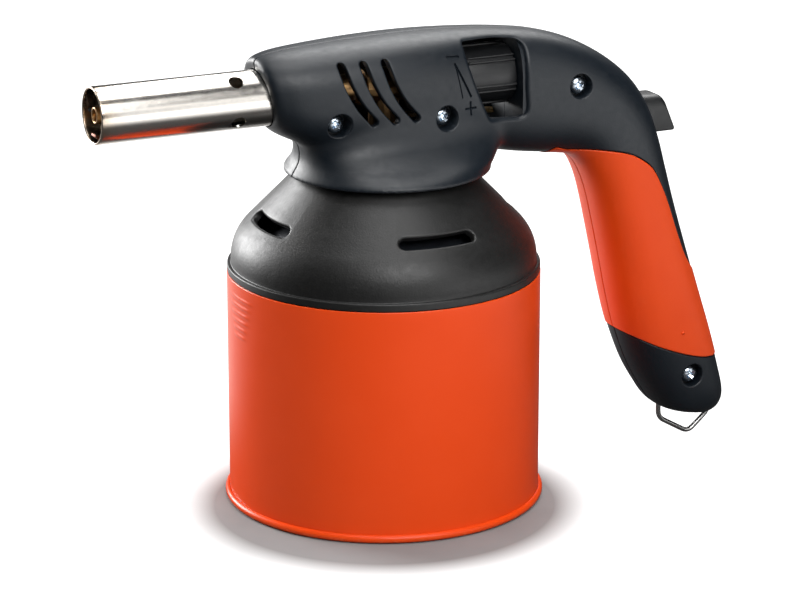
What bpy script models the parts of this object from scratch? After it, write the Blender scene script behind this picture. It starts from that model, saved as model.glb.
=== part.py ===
"""Refillable gas torch: a steel cup for a pierceable gas cartridge, a moulded dome cover,
a two-part head with a curved handle, a burner tube, a valve wheel and a piezo igniter.

Metres, +Z up. The origin is the middle of the cup's flat base, the burner points along -X
and the handle reaches along +X. The two head shells meet at Y = 0.
"""

import math

import bmesh
import bpy
import numpy as np
from mathutils import Matrix, Vector
from mathutils.bvhtree import BVHTree

# Fits and overruns shared by all pieces
GAP = 0.0003
OVERRUN = 0.004
WELD = 0.000008
WELD_SHARES = (1, 0.25, 0.0625, 0.015625)
BIG_TURN = 32
MID_TURN = 20
ROUND_TURN = 16
SMALL_TURN = 12
# The housing's skins meet at grazing angles, where the exact solver leaves open edges
SHELL_SOLVER = "MANIFOLD"

# Cup
CUP_RADIUS = 0.0468
CUP_WALL = 0.0006
CUP_HEIGHT = 0.0701
SEAM_HEIGHT = 0.0024
SEAM_LIP = 0.0010
BASE_BEAD_INSET = 0.0048
BASE_BEAD_WIDTH = 0.008
BASE_BEAD_RISE = 0.0008
GRIP_RIB_COUNT = 6
GRIP_RIB_PITCH = 0.0023
GRIP_RIB_HEIGHT = 0.0011
GRIP_RIB_RISE = 0.00045
GRIP_RIB_TOP = 0.0040
GRIP_RIB_WIDTH = 0.0135
GRIP_RIB_END_WIDTH = 0.0055
GRIP_RIB_STATION_SHARES = (-1, -0.7, 0, 0.7, 1)

# Cartridge
CARTRIDGE_CLEARANCE = 0.0016
CARTRIDGE_WALL = 0.0006
CARTRIDGE_SHOULDER_DROP = 0.0061
CARTRIDGE_BOSS_RADIUS = 0.008
CARTRIDGE_BOSS_RISE = 0.0010
CARTRIDGE_FOOT_RADIUS = 0.0014

# Dome cover
DOME_WALL = 0.0020
DOME_FLANGE_SETBACK = 0.0001
DOME_FLANGE_EDGE = 0.0003
DOME_FLANGE_HEIGHT = 0.0021
DOME_SHOULDER_RADIUS = 0.01507
DOME_SHOULDER_HEIGHT = 0.0036
DOME_SHOULDER_STEP = 0.0012
DOME_CONE_ANGLE = math.radians(45.6)
DOME_TOP_RADIUS = 0.022244
SKIRT_DEPTH = 0.0040
SKIRT_WALL = 0.0009
SPIGOT_RADIUS_SHARE = 0.47
SPIGOT_WALL = 0.0022
SPIGOT_HEIGHT_SHARE = 0.1214
SPIGOT_LIP = 0.0014
SPIGOT_LIP_HEIGHT = 0.0017
VENT_COUNT = 4
VENT_SPAN = math.radians(36.5)
VENT_HEIGHT = 0.0038
VENT_BEVEL = 0.0005
VENT_SLANT = 0.0048
VENT_STEPS = 7
DOME_STEPS = 3

# Latch springs
LATCH_WIDTH = 0.012
LATCH_THICKNESS = 0.0004
LATCH_DROP = 0.0145
LATCH_SEAT = 0.0013
LATCH_BUMP_DROP = 0.0100
LATCH_BUMP_HEIGHT = 0.0028

# Housing: the head and handle in side view. A share is of NOSE_REACH or HANDLE_REACH in X,
# and of HEAD_HEIGHT or HANDLE_DROP from the collar's rim in Z.
NOSE_REACH = 0.0435
HANDLE_REACH = 0.117
HEAD_HEIGHT = 0.0412
HANDLE_DROP = 0.0894
HOUSING_HALF_WIDTH = 0.0168
HOUSING_WALL = 0.0023
HOUSING_SIDES = 20
HOUSING_INNER_SIDES = 12
COLLAR_STAND = 0.004885
COLLAR_SHIFT = 0.0012
COLLAR_DROP = 0.0038
SPLIT_GAP = 0.0003
RIB_FOOT_SHARE = 0.12

# Rows from the nose to the handle's foot: upper edge x and z, lower edge x and z,
# half width, and how square the section is.
HOUSING_ROW_SHARES = (
    (-0.952, 0.890, -0.862, 0.408, 0.66, 2.2),
    (-0.905, 0.922, -0.793, 0.352, 0.75, 2.3),
    (-0.759, 0.950, -0.644, 0.282, 0.88, 2.5),
    (-0.460, 0.973, -0.414, 0.233, 0.97, 2.7),
    (-0.115, 0.990, -0.115, 0.209, 1.00, 2.8),
    (0.085, 0.996, 0.077, 0.184, 0.96, 2.8),
    (0.214, 0.985, 0.205, 0.126, 0.84, 2.8),
    (0.325, 0.959, 0.316, 0.060, 0.79, 2.8),
    (0.427, 0.913, 0.406, 0.020, 0.79, 2.8),
    (0.526, 0.823, 0.465, 0.002, 0.81, 2.7),
    (0.614, 0.684, 0.513, -0.012, 0.83, 2.6),
    (0.686, 0.510, 0.541, -0.043, 0.84, 2.5),
    (0.734, 0.306, 0.560, -0.085, 0.85, 2.5),
    (0.765, 0.075, 0.576, -0.136, 0.86, 2.5),
    (0.789, -0.077, 0.591, -0.206, 0.86, 2.5),
    (0.819, -0.217, 0.607, -0.295, 0.87, 2.5),
    (0.857, -0.376, 0.626, -0.407, 0.88, 2.5),
    (0.897, -0.536, 0.646, -0.530, 0.88, 2.5),
    (0.936, -0.687, 0.672, -0.659, 0.86, 2.5),
    (0.967, -0.821, 0.713, -0.799, 0.82, 2.5),
    (0.986, -0.925, 0.758, -0.900, 0.78, 2.5),
    (0.978, -0.980, 0.785, -0.950, 0.70, 2.4),
    (0.952, -1.007, 0.812, -0.978, 0.55, 2.3),
)

# Levels of the neck from the collar's rim upwards: height, then reach to the front, reach
# to the back and half width as shares of COLLAR_RADIUS, and how square the section is.
NECK_ROW_SHARES = (
    (0.010, 1.000, 1.000, 0.985, 2.0),
    (0.032, 1.000, 1.000, 0.985, 2.0),
    (0.055, 0.985, 1.010, 0.960, 2.0),
    (0.087, 0.955, 1.050, 0.890, 2.1),
    (0.136, 0.925, 1.100, 0.760, 2.3),
    (0.197, 0.915, 1.150, 0.650, 2.5),
    (0.257, 0.930, 1.200, 0.580, 2.6),
    (0.330, 0.960, 1.220, 0.542, 2.7),
    (0.427, 0.930, 1.180, 0.528, 2.7),
    (0.524, 0.850, 1.000, 0.480, 2.7),
)

# Soft grip covers: upper and lower edge in side view
GRIP_PROUD = 0.0003
GRIP_THICKNESS = 0.0013
GRIP_TOP_SHARES = (
    (0.420, -0.030),
    (0.449, 0.068),
    (0.487, 0.046),
    (0.566, 0.034),
    (0.639, -0.002),
    (0.684, -0.032),
    (0.721, -0.077),
    (0.762, -0.181),
    (0.797, -0.304),
    (0.833, -0.407),
    (0.889, -0.469),
    (1.020, -0.520),
)
GRIP_FOOT_SHARES = (
    (1.030, -0.792),
    (0.926, -0.782),
    (0.849, -0.761),
    (0.757, -0.718),
    (0.678, -0.671),
    (0.598, -0.629),
    (0.500, -0.560),
)

# Openings in the housing's sides
SLOT_COUNT = 3
SLOT_WIDTH = 0.0023
SLOT_PITCH = 0.0067
SLOT_START_SHARE = (-0.449, 0.862)
SLOT_PATH_SHARES = ((0.0, 0.0), (0.16, -0.34), (0.52, -0.70), (1.0, -1.0))
SLOT_LENGTH = 0.0092
SLOT_DEPTH = 0.0168
WINDOW_SHARES = (
    (0.168, 0.915),
    (0.196, 0.605),
    (0.230, 0.385),
    (0.290, 0.345),
    (0.340, 0.380),
    (0.353, 0.430),
    (0.342, 0.830),
    (0.310, 0.905),
    (0.250, 0.925),
)
WINDOW_CORNER = 0.0022

# Screws that clamp the shells
SCREW_TAIL_INSET = 0.0037
SCREW_MIXER_DROP = 0.0072
SCREW_VALVE_SHARE = 0.113
SCREW_HANDLE_SHARES = ((0.503, 0.532), (0.851, -0.832))
SCREW_HEAD_RADIUS = 0.00275
SCREW_HEAD_HEIGHT = 0.0019
SCREW_SHANK_RADIUS = 0.0015
SCREW_REACH = 0.0080
SCREW_SINKS = (0.0054, 0.0054, 0.0040, 0.0040)
SCREW_CROSS_WIDTH = 0.0009
SCREW_CROSS_SPAN = 0.0032
SCREW_CROSS_DEPTH = 0.0011
COUNTERBORE_RADIUS = 0.00365
BOSS_WALL = 0.0010
BOSS_CORE_RADIUS = 0.0028
BOSS_STEP = 0.0015

# Burner
BURNER_SHARE = 0.626
BURNER_RADIUS = 0.0084
BURNER_WALL = 0.0007
BURNER_MOUTH = 0.0910
BURNER_TAIL = 0.0245
AIR_HOLE_COUNT = 4
AIR_HOLE_RADIUS = 0.0022
AIR_HOLE_SETBACK = 0.0054
AIR_HOLE_TURN = math.radians(41)
MIXER_RADIUS = 0.00245
MIXER_BORE = 0.0018
MIXER_SETBACK = 0.0020
MIXER_BELL_RADIUS = 0.0042
MIXER_BELL_LENGTH = 0.0080
MIXER_CONE_LENGTH = 0.0035
MIXER_BELL_WALL = 0.0008
BUSH_LENGTH = 0.0070
BUSH_SETBACK = 0.0010
STABILISER_SETBACK = 0.0120
STABILISER_THICKNESS = 0.0015
STABILISER_PORT_COUNT = 5
STABILISER_PORT_RADIUS = 0.0011
INSULATOR_RADIUS = 0.0016
INSULATOR_BORE = 0.0008
INSULATOR_SETBACK = 0.0072
ELECTRODE_RADIUS = 0.0005
ELECTRODE_SETBACK = 0.0014
ELECTRODE_HOOK = 0.0016
EARTH_TAB_WIDTH = 0.0042
EARTH_TAB_LENGTH = 0.0050
EARTH_TAB_THICKNESS = 0.0006
EARTH_TAB_RISE = 0.0018

# Valve train
VALVE_RADIUS = 0.0052
VALVE_FRONT = 0.0070
VALVE_BACK = 0.0200
STEM_RADIUS = 0.0046
STEM_FOOT_RADIUS = 0.0054
VALVE_FLANGE_HEIGHT = 0.0022
STEM_FOOT_DROP = 0.0042
NUT_RADIUS = 0.0085
NUT_HEIGHT = 0.0034
SEAL_RADIUS = 0.0060
SEAL_THICKNESS = 0.0059
NEEDLE_RADIUS = 0.0013
NEEDLE_REACH = 0.0050
NEEDLE_TIP = 0.0028
NEEDLE_GRIP = 0.0060
JET_SHANK_RADIUS = 0.0020
JET_SHANK_LENGTH = 0.0033
JET_HEAD_RADIUS = 0.0040
JET_HEAD_LENGTH = 0.0025
JET_TIP_RADIUS = 0.0021
JET_TIP_LENGTH = 0.0034
JET_BORE = 0.0005
SPINDLE_RADIUS = 0.0020
SPINDLE_INSERT = 0.0080
SPINDLE_TAIL = 0.0030

# Valve wheel
WHEEL_RADIUS = 0.0086
WHEEL_RIB_RISE = 0.0006
WHEEL_RIB_WIDTH = 0.0007
WHEEL_RIB_SPACE = 0.0017
WHEEL_RIB_PAIRS = 6
WHEEL_LENGTH = 0.0155
WHEEL_START = 0.0042
WHEEL_CORNER = 0.0006
WHEEL_REST_TURN = math.radians(49)

# Igniter
BUTTON_SHARE = 0.204
BUTTON_HEIGHT = 0.0116
BUTTON_HALF_WIDTH = 0.0060
BUTTON_PROUD = 0.0070
BUTTON_ROOT = 0.0055
BUTTON_CORNER = 0.0016
BUTTON_TRAVEL = 0.0050
# Sections across the button: place as a share of its half width, then its size
BUTTON_SECTION_SHARES = ((-1, 0.55), (-0.86, 0.9), (-0.7, 1), (0.7, 1), (0.86, 0.9), (1, 0.55))
PLUNGER_RADIUS = 0.0022
PLUNGER_INSERT = 0.0065
PIEZO_LENGTH = 0.0150
PIEZO_HALF_HEIGHT = 0.0040
PIEZO_HALF_WIDTH = 0.0050
LEAD_RADIUS = 0.0010

# Ribs inside the shells
RIB_THICKNESS = 0.0016
SADDLE_INSET = 0.0090
PIEZO_RIB_INSET = 0.0030

# Hanging loop at the handle's foot
LOOP_WIRE_RADIUS = 0.00078
LOOP_FRONT_SHARES = (0.815, -0.945)
LOOP_BACK_SHARE = 0.9705
LOOP_DROP = 0.0158
LOOP_VERTEX_SHARE = 0.60
LOOP_KNEE_SHARE = 0.60
LOOP_BEND = 0.0024
LOOP_PIN = 0.0042
LOOP_SWING = math.radians(25)

# Places that several pieces share
CUP_INNER = CUP_RADIUS - CUP_WALL
CARTRIDGE_RADIUS = CUP_INNER - CARTRIDGE_CLEARANCE
DOME_FOOT_Z = CUP_HEIGHT + GAP
DOME_SIDE_RADIUS = CUP_RADIUS - DOME_SHOULDER_STEP
DOME_SHOULDER_TURN = math.pi / 2 - DOME_CONE_ANGLE
CONE_FOOT_RADIUS = DOME_SIDE_RADIUS - DOME_SHOULDER_RADIUS * (1 - math.cos(DOME_SHOULDER_TURN))
CONE_FOOT_Z = (DOME_FOOT_Z + DOME_SHOULDER_HEIGHT
               + DOME_SHOULDER_RADIUS * math.sin(DOME_SHOULDER_TURN))
DOME_TOP_Z = CONE_FOOT_Z + (CONE_FOOT_RADIUS - DOME_TOP_RADIUS) * math.tan(DOME_CONE_ANGLE)
COLLAR_Z = DOME_TOP_Z - COLLAR_DROP
COLLAR_RADIUS = DOME_TOP_RADIUS + COLLAR_DROP / math.tan(DOME_CONE_ANGLE) + COLLAR_STAND
SPIGOT_HEIGHT = HEAD_HEIGHT * SPIGOT_HEIGHT_SHARE
SPIGOT_RADIUS = COLLAR_RADIUS * SPIGOT_RADIUS_SHARE
STEM_FOOT_Z = DOME_TOP_Z - DOME_WALL - STEM_FOOT_DROP
CARTRIDGE_TOP_Z = STEM_FOOT_Z - SEAL_THICKNESS - GAP * 2
FLOOR_TOP_Z = CUP_WALL
CARTRIDGE_FOOT_Z = FLOOR_TOP_Z + BASE_BEAD_RISE + GAP
BURNER_INNER = BURNER_RADIUS - BURNER_WALL
INSULATOR_OFFSET = (BURNER_INNER + MIXER_RADIUS) / 2


def along(share):
    """X of a share: forwards of the cup's axis it is of the nose, backwards of the handle."""
    return share * (HANDLE_REACH if share > 0 else NOSE_REACH)


def level(share):
    """Z of a share: above the collar's rim it is of the head, below of the handle."""
    return COLLAR_Z + share * (HEAD_HEIGHT if share > 0 else HANDLE_DROP)


BURNER_Z = level(BURNER_SHARE)
WHEEL_X = VALVE_BACK + WHEEL_START
BUTTON_Z = level(BUTTON_SHARE)


def clear_scene():
    for old in list(bpy.data.objects):
        bpy.data.objects.remove(old)


def principled(name, colour, roughness, metallic):
    made = bpy.data.materials.new(name)
    made.use_nodes = True
    shader = made.node_tree.nodes["Principled BSDF"]
    shader.inputs["Base Color"].default_value = (*colour, 1)
    shader.inputs["Roughness"].default_value = roughness
    shader.inputs["Metallic"].default_value = metallic
    made.diffuse_color = (*colour, 1)
    return made


def solid(name, points, faces):
    """A mesh object from points and faces, with its faces turned to point out."""
    mesh = bpy.data.meshes.new(name)
    mesh.from_pydata([tuple(point) for point in points], [], faces)
    work = bmesh.new()
    work.from_mesh(mesh)
    bmesh.ops.recalc_face_normals(work, faces=work.faces)
    work.to_mesh(mesh)
    work.free()
    made = bpy.data.objects.new(name, mesh)
    bpy.context.scene.collection.objects.link(made)
    return made


def weld(made):
    """Joins points that Booleans left almost on each other, and drops faces with no area.

    The widest distance that leaves the skin closed is kept.
    """
    for share in WELD_SHARES:
        work = bmesh.new()
        work.from_mesh(made.data)
        bmesh.ops.triangulate(work, faces=work.faces)
        bmesh.ops.remove_doubles(work, verts=work.verts, dist=WELD * share)
        bmesh.ops.dissolve_degenerate(work, dist=WELD * share, edges=work.edges)
        closed = all(len(edge.link_faces) == 2 for edge in work.edges)
        if closed:
            work.to_mesh(made.data)
        work.free()
        if closed:
            return
    raise RuntimeError(f"{made.name} has open edges after welding")


def finish(made, material):
    """Gives a finished piece its material and smooth shading, with its real edges sharp."""
    weld(made)
    made.data.materials.clear()
    made.data.materials.append(material)
    made.data.shade_smooth()
    made.data.set_sharp_from_angle(angle=math.radians(32))
    return made


def combine(target, tool, operation, solver="EXACT"):
    """Applies one Boolean to the target and removes the tool."""
    tool.hide_render = True
    tool.display_type = "WIRE"
    modifier = target.modifiers.new(operation, "BOOLEAN")
    modifier.operation = operation
    modifier.solver = solver
    modifier.object = tool
    graph = bpy.context.evaluated_depsgraph_get()
    mesh = bpy.data.meshes.new_from_object(target.evaluated_get(graph))
    target.modifiers.remove(modifier)
    target.data = mesh
    bpy.data.objects.remove(tool)
    return target


def cut(target, *tools, solver="EXACT"):
    for tool in tools:
        combine(target, tool, "DIFFERENCE", solver)
    return target


def join(target, *tools, solver="EXACT"):
    for tool in tools:
        combine(target, tool, "UNION", solver)
    return target


def keep_within(target, tool, solver="EXACT"):
    return combine(target, tool, "INTERSECT", solver)


def copy_of(made, name):
    other = bpy.data.objects.new(name, made.data.copy())
    bpy.context.scene.collection.objects.link(other)
    return other


def placed(made, matrix):
    """Moves the mesh itself, so that later Booleans work in the object's own frame."""
    made.data.transform(matrix)
    return made


def loft(name, rings):
    """A closed skin through rings of equal length, with a flat cap at each end."""
    count = len(rings[0])
    points = [point for ring in rings for point in ring]
    faces = []
    for row in range(len(rings) - 1):
        for k in range(count):
            after = (k + 1) % count
            low, high = row * count, (row + 1) * count
            faces.append((low + k, low + after, high + after, high + k))
    faces.append(tuple(range(count))[::-1])
    faces.append(tuple(range((len(rings) - 1) * count, len(rings) * count)))
    return solid(name, points, faces)


def turned(name, profile, segments):
    """A profile of radius and height points, taken round Z. Points on the axis close it."""
    points, rows = [], []
    for radius, height in profile:
        if radius == 0:
            rows.append([len(points)] * segments)
            points.append((0, 0, height))
            continue
        rows.append(list(range(len(points), len(points) + segments)))
        for k in range(segments):
            angle = math.tau * k / segments
            points.append((radius * math.cos(angle), radius * math.sin(angle), height))
    faces = []
    for row, low in enumerate(rows):
        high = rows[(row + 1) % len(rows)]
        for k in range(segments):
            after = (k + 1) % segments
            corners = [low[k], low[after], high[after], high[k]]
            ring = [c for i, c in enumerate(corners) if c != corners[i - 1]]
            if len(ring) > 2:
                faces.append(ring)
    return solid(name, points, faces)


def prism(name, outline, low, high):
    """An outline of x and z points, extruded along Y from low to high."""
    return loft(name, [[(x, y, z) for x, z in outline] for y in (low, high)])


def box(name, low, high):
    outline = ((low[0], low[2]), (high[0], low[2]), (high[0], high[2]), (low[0], high[2]))
    return prism(name, outline, low[1], high[1])


def rod(name, start, end, radius, segments=SMALL_TURN):
    """A straight round bar between two points."""
    start, end = Vector(start), Vector(end)
    made = turned(name, ((0, 0), (radius, 0), (radius, (end - start).length),
                         (0, (end - start).length)), segments)
    turn = (end - start).to_track_quat("Z", "Y").to_matrix().to_4x4()
    return placed(made, Matrix.Translation(start) @ turn)


def wire(name, path, radius, sides=8):
    """A round wire along a path of points, with flat ends."""
    path = [Vector(point) for point in path]
    normal = Vector((0, 1, 0))
    rings = []
    for k, point in enumerate(path):
        forward = (path[min(k + 1, len(path) - 1)] - path[max(k - 1, 0)]).normalized()
        normal = (normal - forward * normal.dot(forward)).normalized()
        side = forward.cross(normal)
        angles = [math.tau * i / sides for i in range(sides)]
        rings.append([point + radius * (math.cos(a) * normal + math.sin(a) * side) for a in angles])
    return loft(name, rings)


def fillet(points, radius, steps=4):
    """A closed 2D outline with each corner rounded, and the radius held to half its edges."""
    rounded = []
    for k, corner in enumerate(points):
        corner = Vector(corner)
        before = Vector(points[k - 1]) - corner
        after = Vector(points[(k + 1) % len(points)]) - corner
        half = before.angle(after) / 2
        reach = min(radius / math.tan(half), before.length / 2.1, after.length / 2.1)
        first, last = corner + before.normalized() * reach, corner + after.normalized() * reach
        for step in range(steps + 1):
            t = step / steps
            rounded.append(tuple(first * (1 - t) ** 2 + corner * 2 * t * (1 - t) + last * t ** 2))
    return rounded


def curve_through(rows, steps):
    """Rows of numbers with a smooth curve through them, and the same rows kept on it."""
    rows = [np.array(row, float) for row in rows]
    fine = []
    for k in range(len(rows) - 1):
        a, b = rows[max(k - 1, 0)], rows[k]
        c, d = rows[k + 1], rows[min(k + 2, len(rows) - 1)]
        for step in range(steps):
            t = step / steps
            fine.append(b + t * (c - a) / 2 + t ** 2 * (2 * a - 5 * b + 4 * c - d) / 2
                        + t ** 3 * (3 * b - a - 3 * c + d) / 2)
    fine.append(rows[-1])
    return fine


def squared_ring(count, power):
    """Points of a unit superellipse: round at power 2, squarer above."""
    ring = []
    for k in range(count):
        c, s = math.cos(math.tau * k / count), math.sin(math.tau * k / count)
        ring.append((math.copysign(abs(c) ** (2 / power), c),
                     math.copysign(abs(s) ** (2 / power), s)))
    return ring


def head_and_handle(name, inset, sides):
    """The long body from nose to foot, its skin moved in by the inset."""
    rows = []
    for top_x, top_z, low_x, low_z, width, power in HOUSING_ROW_SHARES:
        rows.append((along(top_x), level(top_z), along(low_x), level(low_z),
                     width * HOUSING_HALF_WIDTH, power))
    rows = np.array(rows)
    middles = (rows[:, :2] + rows[:, 2:4]) / 2
    steps = np.linalg.norm(np.diff(middles, axis=0), axis=1)
    travel = np.concatenate([[0], np.cumsum(steps)])
    if inset > 0:
        ends = (inset, travel[-1] - inset)
        inside = [t for t in travel if ends[0] + inset / 2 < t < ends[1] - inset / 2]
        wanted = [ends[0], *inside, ends[1]]
        rows = np.stack([np.interp(wanted, travel, column) for column in rows.T], axis=1)
    rings = []
    for top_x, top_z, low_x, low_z, width, power in rows:
        middle = np.array((top_x + low_x, top_z + low_z)) / 2
        half = np.array((top_x - low_x, top_z - low_z)) / 2
        half *= 1 - inset / np.linalg.norm(half)
        rings.append([(middle[0] + half[0] * u, (width - inset) * v, middle[1] + half[1] * u)
                      for u, v in squared_ring(sides, power)])
    return loft(name, rings)


def neck(name, inset, sides):
    """The flared neck above the collar's rim. An inset neck runs out below the rim."""
    rings = []
    for height, front, back, width, power in NECK_ROW_SHARES:
        middle = COLLAR_SHIFT + (back - front) / 2 * COLLAR_RADIUS
        length = (back + front) / 2 * COLLAR_RADIUS - inset
        z = level(height) - (inset * 2 if not rings and inset > 0 else 0)
        rings.append([(middle + length * u, (width * COLLAR_RADIUS - inset) * v, z)
                      for u, v in squared_ring(sides, power)])
    return loft(name, rings)


def housing(name, inset, sides):
    return join(head_and_handle(name, inset, sides), neck("neck", inset, sides),
                solver=SHELL_SOLVER)


def side_at(body, x, z):
    """How far out the body's -Y side is at a place in side view."""
    tree = BVHTree.FromObject(body, bpy.context.evaluated_depsgraph_get())
    hit = tree.ray_cast(Vector((x, -HANDLE_REACH, z)), Vector((0, 1, 0)))
    return -hit[0].y


def screw_spots():
    """X and Z of the screws: behind the burner's tail, under the valve, two in the handle."""
    under_valve = BURNER_Z - VALVE_RADIUS - GAP - BOSS_CORE_RADIUS
    return [(SCREW_TAIL_INSET - BURNER_TAIL, BURNER_Z - SCREW_MIXER_DROP),
            (along(SCREW_VALVE_SHARE), under_valve),
            *((along(x), level(z)) for x, z in SCREW_HANDLE_SHARES)]


def screw_places(body):
    """X, Z and the depth Y of the underside of each screw's head."""
    return [(x, z, side_at(body, x, z) - sink) for (x, z), sink in zip(screw_spots(), SCREW_SINKS)]


def boss(place):
    """A shell's boss: wide round the screw's head, narrow round its shank."""
    x, z, seat = place
    wide, narrow = COUNTERBORE_RADIUS + BOSS_WALL, BOSS_CORE_RADIUS
    near, far = seat - BOSS_STEP, HOUSING_HALF_WIDTH * 2
    made = turned("boss", ((0, -far), (narrow, -far), (narrow, near), (wide, near),
                           (wide, far), (0, far)), SMALL_TURN)
    return placed(made, Matrix.Translation((x, 0, z)) @ Matrix.Rotation(math.pi / 2, 4, "X"))


def plate_across(x, thickness):
    """A rib across the whole housing at one X, before it is trimmed to the walls."""
    reach = HANDLE_REACH
    return box("plate", (x, -reach, level(RIB_FOOT_SHARE)), (x + thickness, reach, level(1)))


def inner_frame(body):
    """Bosses and ribs inside the shells."""
    frame = boss(screw_places(body)[0])
    for place in screw_places(body)[1:]:
        join(frame, boss(place), solver=SHELL_SOLVER)
    saddle_x = SADDLE_INSET - NOSE_REACH
    saddle = cut(plate_across(saddle_x, RIB_THICKNESS),
                 rod("bore", (saddle_x - OVERRUN, 0, BURNER_Z),
                     (saddle_x + RIB_THICKNESS + OVERRUN, 0, BURNER_Z), BURNER_RADIUS + GAP))
    bearing_x = WHEEL_X + WHEEL_LENGTH + GAP
    bearing = cut(plate_across(bearing_x, RIB_THICKNESS),
                  rod("bore", (bearing_x - OVERRUN, 0, BURNER_Z),
                      (bearing_x + RIB_THICKNESS + OVERRUN, 0, BURNER_Z), SPINDLE_RADIUS + GAP),
                  lead_tunnel())
    ring_low, ring_high = DOME_TOP_Z + GAP, DOME_TOP_Z + SPIGOT_HEIGHT - SPIGOT_LIP_HEIGHT - GAP
    neck_share = max(row[2] for row in NECK_ROW_SHARES)
    outer, inner = COLLAR_RADIUS * neck_share + COLLAR_SHIFT, SPIGOT_RADIUS + GAP
    ring = turned("ring", ((inner, ring_low), (outer, ring_low), (outer, ring_high),
                           (inner, ring_high)), MID_TURN)
    join(frame, saddle, bearing, ring, piezo_ribs(), loop_ribs(), solver=SHELL_SOLVER)
    return keep_within(frame, housing("trim", HOUSING_WALL / 2, HOUSING_INNER_SIDES), SHELL_SOLVER)


def piezo_span():
    """X of the igniter unit's front and back faces."""
    back = button_root_x() - BUTTON_TRAVEL - GAP
    return back - PIEZO_LENGTH, back


def piezo_ribs():
    """Two ribs with a square opening that the igniter unit sits in."""
    front, back = piezo_span()
    made = None
    for x in (front + PIEZO_RIB_INSET, back - PIEZO_RIB_INSET - RIB_THICKNESS):
        low = BUTTON_Z - PIEZO_HALF_HEIGHT
        high = BUTTON_Z + PIEZO_HALF_HEIGHT
        rib = box("rib", (x, -HANDLE_REACH, low - OVERRUN * 2),
                  (x + RIB_THICKNESS, HANDLE_REACH, high + RIB_THICKNESS))
        cut(rib, box("seat", (x - OVERRUN, -PIEZO_HALF_WIDTH - GAP, low - GAP),
                     (x + RIB_THICKNESS + OVERRUN, PIEZO_HALF_WIDTH + GAP, high + GAP)))
        made = rib if made is None else join(made, rib)
    return made


def back_x(z):
    """X of the handle's back edge at a height, read from the housing's own rows."""
    rows = [(level(row[1]), along(row[0])) for row in HOUSING_ROW_SHARES if row[0] > 0]
    heights = [row[0] for row in rows][::-1]
    return float(np.interp(z, heights, [row[1] for row in rows][::-1]))


def button_root_x():
    return back_x(BUTTON_Z) - BUTTON_ROOT


def loop_frame():
    """The loop's front pivot point and the unit direction of its axis."""
    front = Vector((along(LOOP_FRONT_SHARES[0]), 0, level(LOOP_FRONT_SHARES[1]) + HOUSING_WALL))
    return front, Vector((1, 0, 0))


def loop_span():
    return along(LOOP_BACK_SHARE) - along(LOOP_FRONT_SHARES[0])


def loop_ribs():
    """Cheeks that hold the loop's two pins, each with a round bearing."""
    front, axis = loop_frame()
    made = None
    for start in (LOOP_WIRE_RADIUS + GAP, loop_span() - LOOP_WIRE_RADIUS - GAP - RIB_THICKNESS):
        low = front + axis * start
        reach = HANDLE_REACH
        rib = box("cheek", (low.x, -reach, low.z - reach),
                  (low.x + RIB_THICKNESS, reach, low.z + LOOP_WIRE_RADIUS + RIB_THICKNESS))
        cut(rib, rod("pin", front - axis * OVERRUN, front + axis * (loop_span() + OVERRUN),
                     LOOP_WIRE_RADIUS + GAP))
        made = rib if made is None else join(made, rib)
    return made


def loop_slots():
    """Slots in the handle's foot that the loop's legs swing in."""
    front, axis = loop_frame()
    half = LOOP_WIRE_RADIUS + GAP
    tools = []
    for start in (0, loop_span()):
        middle = front + axis * start
        drop = HOUSING_WALL + OVERRUN * 2
        near = half / math.cos(LOOP_SWING)
        wide = near + drop * math.tan(LOOP_SWING)
        outline = ((-near, half), (-near, 0), (-wide, -drop), (wide, -drop), (near, 0),
                   (near, half))
        rings = [[(middle.x + side, y, middle.z + z) for y, z in outline]
                 for side in (-half, half)]
        tools.append(loft("leg_slot", rings))
    return tools


def slot_cutters():
    """Curved cooling slots with round ends, through both sides."""
    tools = []
    start = np.array((along(SLOT_START_SHARE[0]), level(SLOT_START_SHARE[1])))
    scale = np.array((SLOT_LENGTH, SLOT_DEPTH))
    path = np.array(curve_through(SLOT_PATH_SHARES, 2)) * scale
    for number in range(SLOT_COUNT):
        line = [Vector(start + point + (number * SLOT_PITCH, 0)) for point in path]
        left, right = [], []
        for k, point in enumerate(line):
            forward = (line[min(k + 1, len(line) - 1)] - line[max(k - 1, 0)]).normalized()
            side = Vector((-forward.y, forward.x)) * SLOT_WIDTH / 2
            left.append(point + side)
            right.append(point - side)
        outline = left + round_end(left[-1], right[-1]) + right[::-1] + round_end(right[0], left[0])
        tools.append(prism("slot", [tuple(p) for p in outline], -COLLAR_RADIUS, COLLAR_RADIUS))
    return tools


def round_end(first, last):
    """Points of a half circle between two points, without the points themselves."""
    middle, arm = (first + last) / 2, (first - last) / 2
    across = Vector((arm.y, -arm.x))
    angles = (math.pi * k / 3 for k in (1, 2))
    return [middle + arm * math.cos(a) + across * math.sin(a) for a in angles]


def side_outline(shares):
    return [(along(x), level(z)) for x, z in shares]


def button_outline(grow=0.0):
    """The button in side view: its outer end is parallel to the handle's back."""
    low, high = BUTTON_Z - BUTTON_HEIGHT / 2 - grow, BUTTON_Z + BUTTON_HEIGHT / 2 + grow
    root = button_root_x()
    return [(root, low), (back_x(low) + BUTTON_PROUD, low),
            (back_x(high) + BUTTON_PROUD, high), (root, high)]


def button_hole():
    low, high = BUTTON_Z - BUTTON_HEIGHT / 2 - GAP, BUTTON_Z + BUTTON_HEIGHT / 2 + GAP
    root = button_root_x() - BUTTON_TRAVEL - GAP
    return box("button_hole", (root, -BUTTON_HALF_WIDTH - GAP, low),
               (HANDLE_REACH, BUTTON_HALF_WIDTH + GAP, high))


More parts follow.
